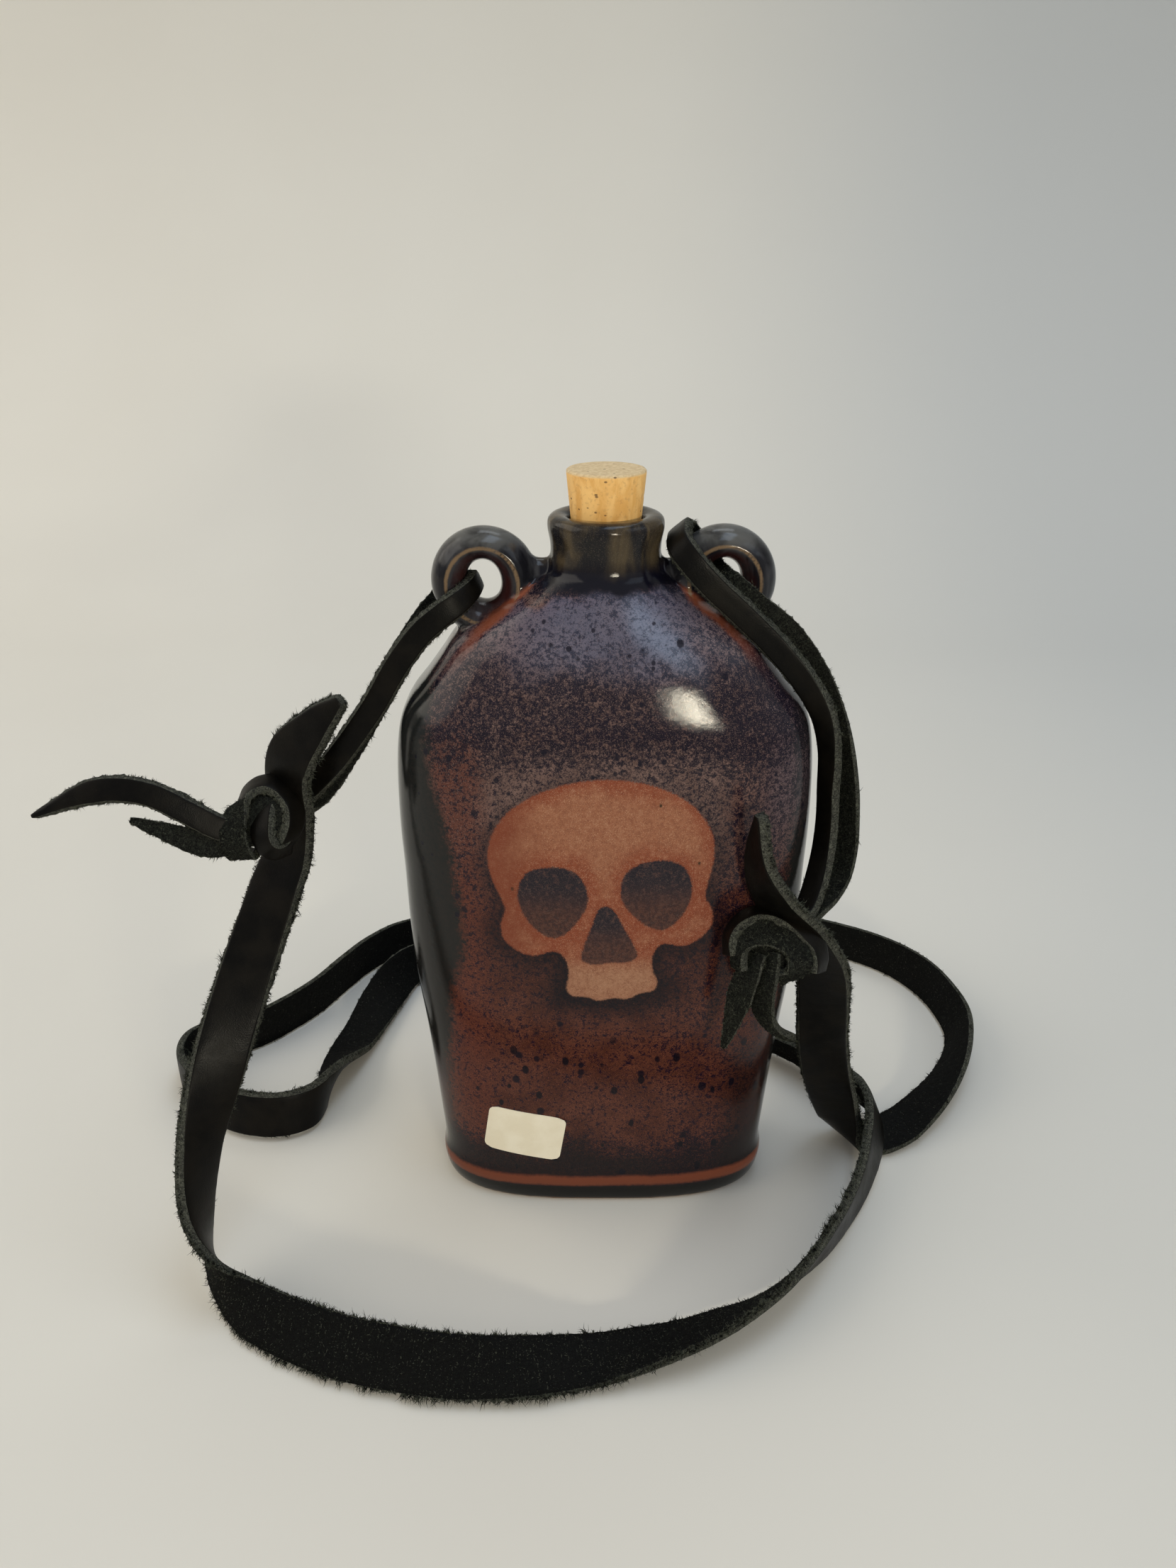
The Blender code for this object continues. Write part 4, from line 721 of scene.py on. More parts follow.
strap_fray = fuzz("strap_fibres", DARK_FIBRE, [strap_strip], 71, 34.0, 1.6, 0.13, front_fray)
left_fray = fuzz("left_lace_fibres", FIBRE, [left_strip] + left_parts, 72, 24.0, 3.6, 0.095)
right_fray = fuzz("right_lace_fibres", FIBRE, [right_strip] + right_parts, 73, 24.0, 3.6, 0.095)

for piece in (strap, strap_fray):
    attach(piece, "canteen")
for piece in (left_lace, right_lace, left_knot, right_knot, left_middle, right_middle,
              left_fray, right_fray):
    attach(piece, "canteen")
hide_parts("shoulder_strap")
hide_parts("left_thong")
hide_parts("right_thong")
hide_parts("left_knot")
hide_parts("right_knot")
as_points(strap_strip["path"])
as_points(left_strip["path"])
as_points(right_strip["path"])

# Glazed flask, collar and lugs as one fused skin
BODY_LEVELS = (
    (0.0000, 0.0525, 0.0250), (0.0015, 0.0540, 0.0258), (0.0045, 0.0549, 0.0264),
    (0.0100, 0.0556, 0.0270), (0.0125, 0.0550, 0.0263), (0.0170, 0.0548, 0.0264),
    (0.0280, 0.0556, 0.0270), (0.0430, 0.0567, 0.0280), (0.0640, 0.0585, 0.0293),
    (0.0840, 0.0606, 0.0304), (0.1030, 0.0616, 0.0312), (0.1220, 0.0619, 0.0318),
    (0.1360, 0.0623, 0.0322), (0.1510, 0.0621, 0.0323), (0.1620, 0.0614, 0.0319),
    (0.1700, 0.0600, 0.0311), (0.1755, 0.0574, 0.0302), (0.1810, 0.0530, 0.0290),
    (0.1880, 0.0479, 0.0272), (0.1946, 0.0430, 0.0250), (0.2010, 0.0336, 0.0224),
    (0.2070, 0.0248, 0.0196), (0.2110, 0.0190, 0.0176), (0.2130, 0.0162, 0.0162),
)
BODY_SQUARE = (2.9, 2.9, 3.0) + (3.1,) * 17 + (2.9, 2.5, 2.15, 2.0)
NECK_PROFILE = (
    (0.0160, 0.2133), (0.0157, 0.2151), (0.0155, 0.2175), (0.0156, 0.2205),
    (0.0161, 0.2229), (0.0165, 0.2251), (0.0163, 0.2270), (0.0152, 0.2281),
    (0.0136, 0.2284), (0.0119, 0.2282), (0.0106, 0.2276), (0.01014, 0.2267),
    (0.01014, 0.2050), (0.0125, 0.1980), (0.0150, 0.1900), (0.0150, 0.1780), (0.0080, 0.1740),
)
LEVEL_STEP, FLASK_AROUND = 0.0016, 200
LUG_RING_HALF_WIDTH, LUG_RING_HALF_HEIGHT = 0.01005, 0.01065
LUG_HALF_WALL, LUG_HALF_DEPTH = 0.00505, 0.0080


def glazed_ring(half_x, half_y, square, z, count):
    """Evenly spaced points round a squared oval."""
    turn = np.linspace(0.0, 2.0 * math.pi, 1441)
    power = 2.0 / square
    xs = half_x * np.sign(np.cos(turn)) * np.abs(np.cos(turn)) ** power
    ys = half_y * np.sign(np.sin(turn)) * np.abs(np.sin(turn)) ** power
    run = np.concatenate(([0.0], np.cumsum(np.hypot(np.diff(xs), np.diff(ys)))))
    want = np.linspace(0.0, run[-1], count + 1)[:-1]
    return np.stack([np.interp(want, run, xs), np.interp(want, run, ys), np.full(count, z)], 1)


def flask_skin():
    """Outer wall, neck and bore in one closed loft."""
    pts = np.array([(*level, square) for level, square in zip(BODY_LEVELS, BODY_SQUARE)])
    ext = with_ends(pts)
    fine = []
    for i in range(len(pts) - 1):
        n = max(1, int(np.abs(pts[i + 1][:3] - pts[i][:3]).max() / LEVEL_STEP))
        fine += [through(*ext[i:i + 4], k / n) for k in range(n)]
    fine.append(pts[-1])
    rings = [glazed_ring(r[1], r[2], r[3], r[0], FLASK_AROUND) for r in fine]
    rings += [glazed_ring(r, r, 2.0, z, FLASK_AROUND) for r, z in NECK_PROFILE]
    return np.concatenate(rings), tube_faces(FLASK_AROUND, len(rings))


def lug_skin(out_x, mid_z, seed):
    """Pulled ring of leaf section, pointed at its front and back ridges."""
    verts, faces = [], []
    around, ring = 72, 32
    for i in range(around):
        a = 2.0 * math.pi * i / around
        wave = 1.0 + 0.03 * math.sin(2 * a + seed) + 0.02 * math.sin(3 * a + 2 * seed)
        for k in range(ring):
            b = 2.0 * math.pi * k / ring
            bulge = LUG_HALF_WALL * wave * math.cos(b) * abs(math.cos(b)) ** 0.28
            verts.append((out_x + (LUG_RING_HALF_WIDTH + bulge) * math.cos(a),
                          LUG_HALF_DEPTH * math.sin(b),
                          mid_z + (LUG_RING_HALF_HEIGHT + bulge * 0.92) * math.sin(a)))
            m, n = (k + 1) % ring, (i + 1) % around
            faces.append((i * ring + k, i * ring + m, n * ring + m, n * ring + k))
    return verts, faces


def web_skin(start, end, radius):
    """Round-ended bar that fills the corner between a lug and the neck."""
    a, b = np.array(start), np.array(end)
    ahead = (b - a) / np.linalg.norm(b - a)
    side = np.array([0.0, 1.0, 0.0])
    up = np.cross(ahead, side)
    around, rows = 24, 12
    verts = []
    for k in range(1, rows):
        t = math.pi * k / rows
        mid = (a if k < rows / 2 else b if k > rows / 2 else (a + b) / 2.0)
        mid = mid - ahead * radius * math.cos(t)
        verts += [mid + (side * math.cos(w) + up * math.sin(w)) * radius * math.sin(t)
                  for w in np.linspace(0.0, 2.0 * math.pi, around + 1)[:-1]]
    return verts, tube_faces(around, rows - 1)


LUGS = ((-0.0345, 0.2095, 0.4), (0.0332, 0.2100, 2.1))
WEBS = (((-0.0215, 0.0, 0.2118), (-0.0125, 0.0, 0.2112), 0.0042),
        ((0.0200, 0.0, 0.2116), (0.0125, 0.0, 0.2110), 0.0042))
VOXEL = 0.00085
verts, faces = [], []
for more, quads in (flask_skin(), *(web_skin(*web) for web in WEBS),
                    *(lug_skin(*lug) for lug in LUGS)):
    faces += [tuple(len(verts) + i for i in quad) for quad in quads]
    verts += list(more)
flask = mesh_object("glazed_flask", verts, faces, [])
remesh = flask.modifiers.new("remesh", 'REMESH')
remesh.mode = 'VOXEL'
remesh.voxel_size = VOXEL
remesh.use_smooth_shade = True
soften = flask.modifiers.new("soften", 'SMOOTH')
soften.factor = 0.5
soften.iterations = 8
graph = bpy.context.evaluated_depsgraph_get()
done = bpy.data.meshes.new_from_object(flask.evaluated_get(graph))
flask.modifiers.clear()
flask.data = done
done.polygons.foreach_set("use_smooth", np.full(len(done.polygons), True))

# Skull drawn on the front: half outline, eye and nose, in millimetres from its centre
SKULL_AT = (-0.3, 124.0)
SKULL_TILT = 4.5
SKULL_HALF = (
    (0.0, 37.4), (9.5, 36.4), (18.4, 33.4), (25.6, 28.6), (30.4, 22.2), (32.6, 15.0),
    (32.0, 7.5), (30.2, 1.0), (29.4, -3.2), (31.2, -7.8), (31.0, -13.2), (27.2, -17.6),
    (22.4, -19.6), (18.6, -18.6), (15.6, -18.4), (13.2, -21.6), (12.6, -27.0), (13.8, -32.0),
    (12.4, -35.2), (8.4, -35.8), (4.4, -37.6), (0.0, -37.0),
)
EYE = (
    (5.0, 2.2), (6.6, 6.8), (11.0, 10.0), (17.4, 10.6), (22.6, 8.8), (25.4, 3.6), (25.2, -2.6),
    (22.2, -9.0), (16.8, -13.2), (11.8, -11.4), (7.8, -7.0), (5.2, -2.4),
)
NOSE = (
    (0.0, -3.6), (2.3, -5.0), (4.8, -11.0), (7.8, -18.6), (8.2, -22.2), (4.6, -24.0),
    (0.0, -23.6), (-4.6, -24.0), (-8.2, -22.2), (-7.8, -18.6), (-4.8, -11.0), (-2.3, -5.0),
)
# Front part of the wall, top of the shoulder and start of a lug's ridge, in millimetres
SKULL_FRONT, SHOULDER_TOP, LUG_CREST_FROM = -12.0, 213.0, 7.6
# Inner and outer edge of a lug as shares of its ring, and a distance that means nowhere near
LUG_INNER_RING, LUG_OUTER_RING, FAR_AWAY = 0.93, 1.62, 30.0


def drawn(points):
    """Closed smooth outline through points, tilted and moved to its place."""
    pts = np.array(points, float)
    fine = [through(*(pts[(i + k) % len(pts)] for k in (-1, 0, 1, 2)), u)
            for i in range(len(pts)) for u in np.arange(5) / 5.0]
    t = math.radians(SKULL_TILT)
    turn = np.array([[math.cos(t), math.sin(t)], [-math.sin(t), math.cos(t)]])
    return np.array(fine) @ turn + np.array(SKULL_AT)


def signed_distance(points, outline):
    """Distance to a closed outline, positive inside."""
    a, b = outline, np.roll(outline, -1, axis=0)
    best = np.full(len(points), 1e9)
    inside = np.zeros(len(points), bool)
    for p, q in zip(a, b):
        way = q - p
        rel = points - p
        t = np.clip(rel @ way / max(way @ way, 1e-12), 0.0, 1.0)
        best = np.minimum(best, np.linalg.norm(rel - t[:, None] * way, axis=1))
        cross = (p[1] > points[:, 1]) != (q[1] > points[:, 1])
        with np.errstate(divide='ignore', invalid='ignore'):
            x = p[0] + (points[:, 1] - p[1]) / (q[1] - p[1]) * way[0]
        inside ^= cross & (points[:, 0] < x)
    return np.where(inside, best, -best)


def skull_fields(co):
    """Skull, dark halo and hollows of the front wall, for places in millimetres."""
    front = co[:, 1] < SKULL_FRONT
    pts = co[front][:, [0, 2]]
    left = [(-x, z) for x, z in SKULL_HALF[1:-1]][::-1]
    outer = signed_distance(pts, drawn(list(SKULL_HALF) + left))
    reach = np.interp(pts[:, 1], (70, 84, 105, 125, 150, 165), (10, 11, 7, 4.5, 2.5, 2.0))
    dark = np.exp(-(np.maximum(-outer, 0.0) / reach) ** 2)
    centre = np.interp(np.abs(pts[:, 0] + 1.0), (0, 14, 24, 34), (1.0, 1.0, 0.85, 0.8))
    low = np.interp(pts[:, 1], (76, 84, 112, 140, 160), (0.2, 1.0, 1.0, 0.7, 0.25))
    skull, halo, socket = np.full(len(co), -FAR_AWAY), np.zeros(len(co)), np.zeros(len(co))
    halo[front] = dark * centre * low
    shape = outer
    for hole in (drawn(EYE), drawn([(-x * 0.98, z * 1.02) for x, z in EYE]), drawn(NOSE)):
        inside = signed_distance(pts, hole)
        shape = np.minimum(shape, -inside)
        bottom, top = hole[:, 1].min(), hole[:, 1].max()
        fall = 1.0 + np.clip((top - pts[:, 1]) / (top - bottom), 0.0, 1.0)
        socket[front] = np.where((inside > -0.9) & (outer > 0.2), fall, socket[front])
    skull[front] = shape
    return skull, halo, socket


def lug_fields(co):
    """Share of the lugs, how far off their crests lie, and the walls of their eyes."""
    deep = np.abs(co[:, 1])
    hx = np.interp(co[:, 2], *(np.array(BODY_LEVELS).T[:2] / MM))
    proud = np.clip((np.abs(co[:, 0]) - hx) / 2.0 + 0.3, 0.0, 1.0)
    proud = np.where(co[:, 2] > SHOULDER_TOP, 1.0, proud)
    lug, crest, eye = np.zeros(len(co)), np.full(len(co), FAR_AWAY), np.zeros(len(co))
    for x, z, _ in LUGS:
        dx, dz = co[:, 0] * MM - x, co[:, 2] * MM - z
        ring = np.hypot(dx / LUG_RING_HALF_WIDTH, dz / LUG_RING_HALF_HEIGHT)
        near = (ring < LUG_OUTER_RING) & (deep < 9.0)
        lug = np.maximum(lug, near * proud)
        off = np.abs(ring - 1.0) * 10.3 + np.maximum(0.0, LUG_CREST_FROM - deep) * 0.6
        crest = np.where(near & (deep > 4.5), np.minimum(crest, off), crest)
        eye = np.maximum(eye, near * np.clip((LUG_INNER_RING - ring) * 6.0, 0.0, 1.0))
    return lug, crest, eye


def shoulder_lines(co):
    """Distance to the lines that run down and outward from the neck on all four corners."""
    line_x = np.interp(co[:, 2], (180, 197, 206, 214), (50.0, 36.8, 25.8, 17.0))
    line = np.abs(np.abs(co[:, 0]) - line_x) * 0.75
    here = (co[:, 2] > 180) & (co[:, 2] < 215) & (np.abs(co[:, 1]) > 6.0)
    return np.where(here, line, FAR_AWAY)


def paint_fields(mesh):
    """Stores on each point of the flask what the glaze needs to know."""
    co = np.zeros(len(mesh.vertices) * 3, np.float32)
    mesh.vertices.foreach_get("co", co)
    co = co.reshape(-1, 3).astype(float) / MM
    skull, halo, socket = skull_fields(co)
    lug, crest, eye = lug_fields(co)
    for name, values in (("skull", skull), ("halo", halo), ("corner", shoulder_lines(co)),
                         ("lug", lug), ("crest", crest), ("eye", eye), ("socket", socket)):
        layer = mesh.attributes.new(name, 'FLOAT', 'POINT')
        layer.data.foreach_set("value", values.astype(np.float32))


paint_fields(flask.data)


def glaze():
    """Iron-red glaze, navy-speckled and purple above, with the skull left light."""
    g = Graph("flask_glaze")
    times, plus, lean, over, span = g.times, g.plus, g.lean, g.over, g.span
    x, y, z = g.axis("X"), g.axis("Y"), g.axis("Z")
    side = g.size(x)
    drift = g.noise(38.0, 3.0, 0.6)
    patch = g.noise(95.0, 3.0, 0.6)
    grit = g.noise(640.0, 5.0, 0.82)
    fine = g.noise(1700.0, 4.0, 0.80)
    finer = g.noise(3600.0, 2.0, 0.6)
    wavy_z = plus(z, lean(drift, 0.030))
    red = g.mix(span(patch, 0.35, 0.65), (0.056, 0.0180, 0.0115), (0.094, 0.0320, 0.0200))
    purple = g.mix(span(patch, 0.35, 0.65), (0.096, 0.056, 0.048), (0.146, 0.090, 0.078))
    tone = g.mix(span(wavy_z, 0.112, 0.158), red, purple)
    # Red shows through near the left and right corners
    thin = times(span(side, 0.030, 0.040), span(side, 0.056, 0.047),
                 span(wavy_z, 0.188, 0.160), span(x, 0.01, -0.02, 0.35, 1.0))
    tone = over(tone, (0.098, 0.028, 0.017), thin, 0.80)
    # Purple wash on the right corner above, dark low on the wall
    wash = times(span(x, 0.040, 0.050), span(wavy_z, 0.125, 0.150), 0.7)
    tone = over(tone, (0.078, 0.058, 0.072), wash)
    # Brownish arc just under the neck
    arc = times(span(wavy_z, 0.2050, 0.2078), span(wavy_z, 0.2125, 0.2100))
    tone = over(tone, (0.120, 0.052, 0.042), arc, 0.60)
    # Navy speckle: thickest in a band above the skull, thin in the red below
    cover = span(wavy_z, 0.045, 0.135, 0.42, 0.50)
    cover = plus(cover, times(span(wavy_z, 0.158, 0.172), span(wavy_z, 0.200, 0.184), 0.24))
    cover = plus(cover, times(span(z, 0.2065, 0.2100), 0.25))
    cover = plus(cover, span(wavy_z, 0.034, 0.020, 0.0, 0.30))
    cover = plus(cover, plus(lean(patch, 0.30), span(x, 0.0, 0.040, 0.0, 0.10)))

    def dotted(field, full):
        return span(plus(field, lean(plus(cover, -0.08), 0.26)), 0.500, full)

    clusters = dotted(grit, 0.540)
    tone = over(tone, (0.0040, 0.0034, 0.0120), clusters, 0.90)
    dust = dotted(fine, 0.545)
    tone = over(tone, (0.0050, 0.0042, 0.0100), dust, 0.78)
    clear = g.minus(1.0, g.maths('MAXIMUM', times(clusters, 0.80), times(dust, 0.45)))
    pale = span(finer, 0.58, 0.66)
    warm = g.mix(span(wavy_z, 0.110, 0.150), (0.30, 0.098, 0.050), (0.26, 0.170, 0.145))
    tone = over(tone, warm, pale, 0.45)
    # Painted bluish sheen between the speckles, stronger right of the middle: a painted reflection
    painted_blue_sheen = times(span(wavy_z, 0.184, 0.196), span(wavy_z, 0.2110, 0.2075),
                  span(side, 0.036, 0.010, 0.25, 1.0), span(g.size(y), 0.004, 0.010))
    tone = over(tone, (0.095, 0.118, 0.190), painted_blue_sheen, plus(times(clear, 0.8), 0.2), 0.54)
    # Painted highlight: a bluish reflection streak running down to the right on the shoulder
    streak = g.size(g.minus(plus(x, times(z, 1.35)), 0.2835))
    painted_highlight_streak = times(span(plus(streak, lean(patch, 0.010)), 0.0100, 0.0010),
                  span(x, 0.002, 0.009), span(x, 0.031, 0.018), span(y, 0.0, -0.004))
    tone = over(tone, (0.26, 0.33, 0.47), painted_highlight_streak, plus(times(clear, 0.6), 0.4), 0.34)
    low_band = times(span(wavy_z, 0.030, 0.018), span(x, 0.0, 0.035, 0.85, 0.70))
    tone = over(tone, (0.0090, 0.0062, 0.0072), low_band)
    low_right = times(span(x, 0.032, 0.046), span(wavy_z, 0.080, 0.050), 0.75)
    tone = over(tone, (0.0085, 0.0055, 0.0055), low_right)
    # Narrow side faces are almost black: painted dark reflection on the sides
    wide = times(span(z, 0.060, 0.112), span(z, 0.165, 0.118), 0.0075)
    edge_x = plus(plus(side, lean(drift, 0.006)), times(wide, span(x, 0.0, -0.01)))
    edge_x = plus(edge_x, plus(lean(patch, 0.004), lean(grit, 0.010)))
    left_side_dark_reflection = times(span(edge_x, 0.0475, 0.0520), span(x, 0.0, -0.01),
                       span(z, 0.040, 0.062, 0.55, 1.0))
    right_side_dark_reflection = times(span(edge_x, 0.0515, 0.0560), span(x, 0.0, 0.01),
                        span(z, 0.160, 0.130, 0.45, 1.0))
    side_dark_reflection = g.maths('MAXIMUM', left_side_dark_reflection, right_side_dark_reflection)
    tone = over(tone, (0.0105, 0.0122, 0.0118), side_dark_reflection, 0.95)

    # Dark spots, uneven in size: sparse above, many small drips low down
    def spots(scale, squeeze, rare, small, large):
        where = g.moved((1.0, 1.0, squeeze))
        away = g.cells(scale, where)
        lots = g.add("ShaderNodeSeparateColor", {0: g.cells(scale, where, "Color")})
        reach = plus(times(lots.outputs[1], large - small), small)
        gone = g.minus(plus(away, lean(fine, 0.22)), reach)
        return times(span(gone, 0.05, -0.02), span(lots.outputs[0], rare, rare + 0.03))

    big = spots(150.0, 0.8, 0.66, 0.06, 0.19)
    tone = over(tone, (0.0042, 0.0038, 0.0090), big, 0.88)
    small = times(spots(300.0, 0.85, 0.74, 0.10, 0.26), span(wavy_z, 0.080, 0.120, 0.3, 1.0))
    tone = over(tone, (0.0045, 0.0042, 0.0110), small, 0.85)
    drips = times(spots(215.0, 0.60, 0.36, 0.09, 0.26), span(wavy_z, 0.080, 0.062))
    tone = over(tone, (0.0040, 0.0036, 0.0070), drips, 0.92)
    # Dark halo round the skull
    halo = times(g.attribute("halo"), span(plus(fine, lean(grit, 0.5)), 0.25, 0.55, 0.60, 1.0))
    tone = over(tone, (0.0048, 0.0038, 0.0066), halo, 0.975)
    # Eye and nose hollows: navy at the top, reddish brown below
    fall = span(plus(g.attribute("socket"), lean(grit, 0.5)), 1.25, 1.75)
    hollow = g.mix(fall, (0.014, 0.011, 0.017), (0.064, 0.026, 0.019))
    hollow = over(hollow, (0.010, 0.008, 0.013), span(grit, 0.49, 0.54), 0.55)
    hollow = over(hollow, (0.105, 0.050, 0.038), span(grit, 0.47, 0.40), 0.45)
    hollow = over(hollow, (0.130, 0.085, 0.070), span(finer, 0.54, 0.64), 0.35)
    tone = over(tone, hollow, span(g.attribute("socket"), 0.3, 0.7))
    # Skull, orange at its rim and paler inside
    skull = g.attribute("skull")
    soft = plus(skull, plus(lean(fine, 2.2), lean(grit, 1.6)))
    deep = span(plus(skull, lean(patch, 14.0)), 0.0, 7.5)
    bone = g.mix(deep, (0.200, 0.048, 0.021), (0.262, 0.104, 0.055))
    bone = over(bone, (0.330, 0.185, 0.112),
                span(z, 0.105, 0.096), span(side, 0.024, 0.012), 0.6)
    bone = over(bone, (0.135, 0.036, 0.019), span(grit, 0.50, 0.60), 0.34)
    bone = over(bone, (0.120, 0.034, 0.020), span(fine, 0.50, 0.60), 0.34)
    bone = over(bone, (0.38, 0.205, 0.128), span(grit, 0.48, 0.38), 0.26)
    bone = over(bone, (0.50, 0.30, 0.19), span(finer, 0.55, 0.66), 0.42)
    bone = over(bone, (0.150, 0.038, 0.018),
                span(plus(x, lean(patch, 0.02)), -0.014, -0.030), 0.62)
    pin_holes = times(spots(260.0, 0.7, 0.93, 0.06, 0.15), span(z, 0.118, 0.130))
    bone = over(bone, (0.020, 0.014, 0.006), pin_holes, 0.9)
    tone = over(tone, bone, span(soft, -0.35, 0.40))
    # Rust lines where the glaze breaks on the shoulder and on the foot's ridge
    corner = g.attribute("corner")
    broken = span(plus(corner, plus(lean(patch, 2.5), lean(fine, 2.2))), 1.85, 0.5)
    broken = times(broken, span(plus(z, lean(drift, 0.010)), 0.186, 0.204))
    tone = over(tone, (0.225, 0.060, 0.025), broken, 0.85)
    middle = plus(0.0098, plus(lean(drift, 0.0022), lean(grit, 0.0016)))
    ridge = g.size(g.minus(z, middle))
    tone = over(tone, (0.160, 0.044, 0.021), span(ridge, 0.0026, 0.0010), 0.90)
    # Painted shade: almost black in the undercut below the foot's ridge
    painted_undercut_shade = span(plus(z, lean(grit, 0.0014)), 0.0080, 0.0064)
    tone = over(tone, (0.0035, 0.0032, 0.0030), painted_undercut_shade)
    bare = span(plus(z, lean(patch, 0.0012)), 0.0013, 0.0006)
    tone = over(tone, (0.200, 0.105, 0.055), bare)
    # Neck: dark bronze grey with drips
    drip = g.noise(240.0, 2.0, 0.5, g.moved((1.0, 1.0, 0.2)))
    neck_edge = plus(z, plus(lean(patch, 0.006), lean(drip, 0.003)))
    neck = span(neck_edge, 0.2085, 0.2115)
    run = g.noise(150.0, 3.0, 0.55, g.moved((1.0, 1.0, 0.30)), 0.6)
    grey = g.mix(span(run, 0.40, 0.66), (0.0090, 0.0086, 0.0100), (0.068, 0.050, 0.028))
    grey = over(grey, (0.16, 0.13, 0.10), span(finer, 0.55, 0.66), 0.25)
    grey = over(grey, (0.0048, 0.0046, 0.0090), span(neck_edge, 0.2190, 0.2130))
    tone = over(tone, grey, neck)
    lug_tone = g.mix(span(run, 0.40, 0.62), (0.008, 0.0080, 0.0105), (0.036, 0.036, 0.040))
    # Painted highlight: the lugs turn lighter grey on top, where the light from above falls
    top = times(span(z, 0.2185, 0.2230), span(run, 0.30, 0.60, 0.3, 1.0))
    lug_tone = over(lug_tone, (0.120, 0.118, 0.106), top, 0.60)
    tone = over(tone, lug_tone, g.attribute("lug"))
    tone = over(tone, (0.034, 0.0075, 0.0060),
                g.attribute("eye"), span(patch, 0.40, 0.65, 0.15, 0.8))
    crest = span(plus(g.attribute("crest"), plus(lean(patch, 0.8), lean(fine, 0.5))), 0.75, 0.20)
    tone = over(tone, (0.185, 0.120, 0.066), crest, 0.85)
    rough = span(skull, -0.5, 0.5, 0.065, 0.12)
    rough = plus(rough, times(span(fine, 0.5, 0.7), 0.05))
    rough = plus(rough, times(bare, 0.6))
    orange_peel = g.bump(g.noise(330.0, 2.0, 0.5), 0.06, 0.0006)
    pin = g.bump(fine, 0.07, 0.0003, orange_peel)
    return g.finish(Base_Color=tone, Roughness=rough, Normal=pin, IOR=1.45,
                    Specular_IOR_Level=0.24)


flask.data.materials.clear()
flask.data.materials.append(glaze())
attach(flask, "canteen")
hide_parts("flask_body", "neck_collar", "left_lug", "right_lug")

# Cork: tapered plug with softened rims and a few pits
CORK_LOW, CORK_HIGH = (float(corner.z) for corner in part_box("cork_stopper"))
CORK_END_RADIUS, CORK_TOP_RADIUS = 0.00875, 0.0111
CORK_RIM, CORK_END_RIM = 0.0004, 0.0005


def cork_skin():
    """Fine turned taper, dented a little and pitted."""
    around = 120
    length = CORK_HIGH - CORK_LOW
    rows = [(CORK_END_RADIUS * k / 6, 0.0) for k in range(1, 6)]
    rows += [(CORK_END_RADIUS - CORK_RIM, 0.0), (CORK_END_RADIUS, CORK_RIM)]
    rows += [(CORK_END_RADIUS + (CORK_TOP_RADIUS - CORK_END_RADIUS) * t, length * t)
             for t in np.linspace(0.04, 0.96, 40)]
    rows += [(CORK_TOP_RADIUS - 0.1 * MM, length - CORK_RIM),
             (CORK_TOP_RADIUS - CORK_END_RIM, length)]
    rows += [(CORK_TOP_RADIUS * k / 10, length) for k in range(9, 0, -1)]
    rng = np.random.default_rng(5)
    pits = [(rng.uniform(0, 2 * math.pi), rng.uniform(0.1, 0.95), rng.uniform(0.5, 1.3),
             rng.uniform(0.3, 0.8)) for _ in range(26)]
    verts = []
    for r, h in rows:
        a = np.arange(around) * 2 * math.pi / around
        rad = np.full(around, r)
        if r > 0.0085:
            rad += value_noise(a * 6, np.full(around, h / MM * 0.25), 9) * 0.00006
            for pa, ph, pw, pd in pits:
                da = (a - pa + math.pi) % (2 * math.pi) - math.pi
                d = np.hypot(da * r / MM / pw, (h - ph * length) / MM / (pw * 0.6))
                rad -= np.exp(-d ** 2 * 2.0) * pd * 0.0005
        ring = (rad * np.cos(a), rad * np.sin(a), np.full(around, CORK_LOW + h))
        verts += list(np.stack(ring, 1))
    return verts, tube_faces(around, len(rows))


def cork_material():
    """Natural cork: warm tan with streaks, flecks and dark pores."""
    g = Graph("cork_grain")
    streak = g.noise(260.0, 4.0, 0.6, g.moved((1.0, 1.0, 0.35)), 0.5)
    fleck = g.noise(900.0, 3.0, 0.6)
    squat = g.moved((1.0, 1.0, 1.6))
    pick = g.add("ShaderNodeSeparateColor", {0: g.cells(420.0, squat, "Color")}).outputs[0]
    dots = g.times(g.span(g.cells(420.0, squat), 0.24, 0.14), g.span(pick, 0.70, 0.78))
    tone = g.mix(g.span(streak, 0.35, 0.65), (0.72, 0.385, 0.105), (0.86, 0.53, 0.190))
    tone = g.over(tone, (0.42, 0.22, 0.085), g.span(fleck, 0.52, 0.70), 0.35)
    tone = g.over(tone, (0.085, 0.040, 0.016), dots, 0.8)
    end = g.mix(g.span(fleck, 0.35, 0.65), (0.50, 0.375, 0.215), (0.66, 0.53, 0.320))
    end = g.over(end, (0.10, 0.05, 0.02), dots, 0.8)
    top = g.span(g.axis("Z"), CORK_HIGH - 0.0009, CORK_HIGH - 0.0003)
    tone = g.over(tone, end, top, 0.85)
    normal = g.bump(g.minus(fleck, g.times(dots, 0.6)), 0.25, 0.0003)
    return g.finish(Base_Color=tone, Roughness=0.68, Normal=normal, Specular_IOR_Level=0.35)


cork = mesh_object("turned_cork", *cork_skin(), [cork_material()])
cork.data.set_sharp_from_angle(angle=math.radians(50))
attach(cork, "cork")
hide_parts("cork_stopper")

# Paper label laid on the glaze
LABEL_WIDTH, LABEL_HEIGHT, LABEL_CORNER = 0.0254, 0.01905, 0.0026
LABEL_THICK, LABEL_GAP, LABEL_CURL = 0.00016, 0.00008, 0.00035
LABEL_AT = (-0.0258, 0.0300)
LABEL_TILT = math.radians(-8.5)


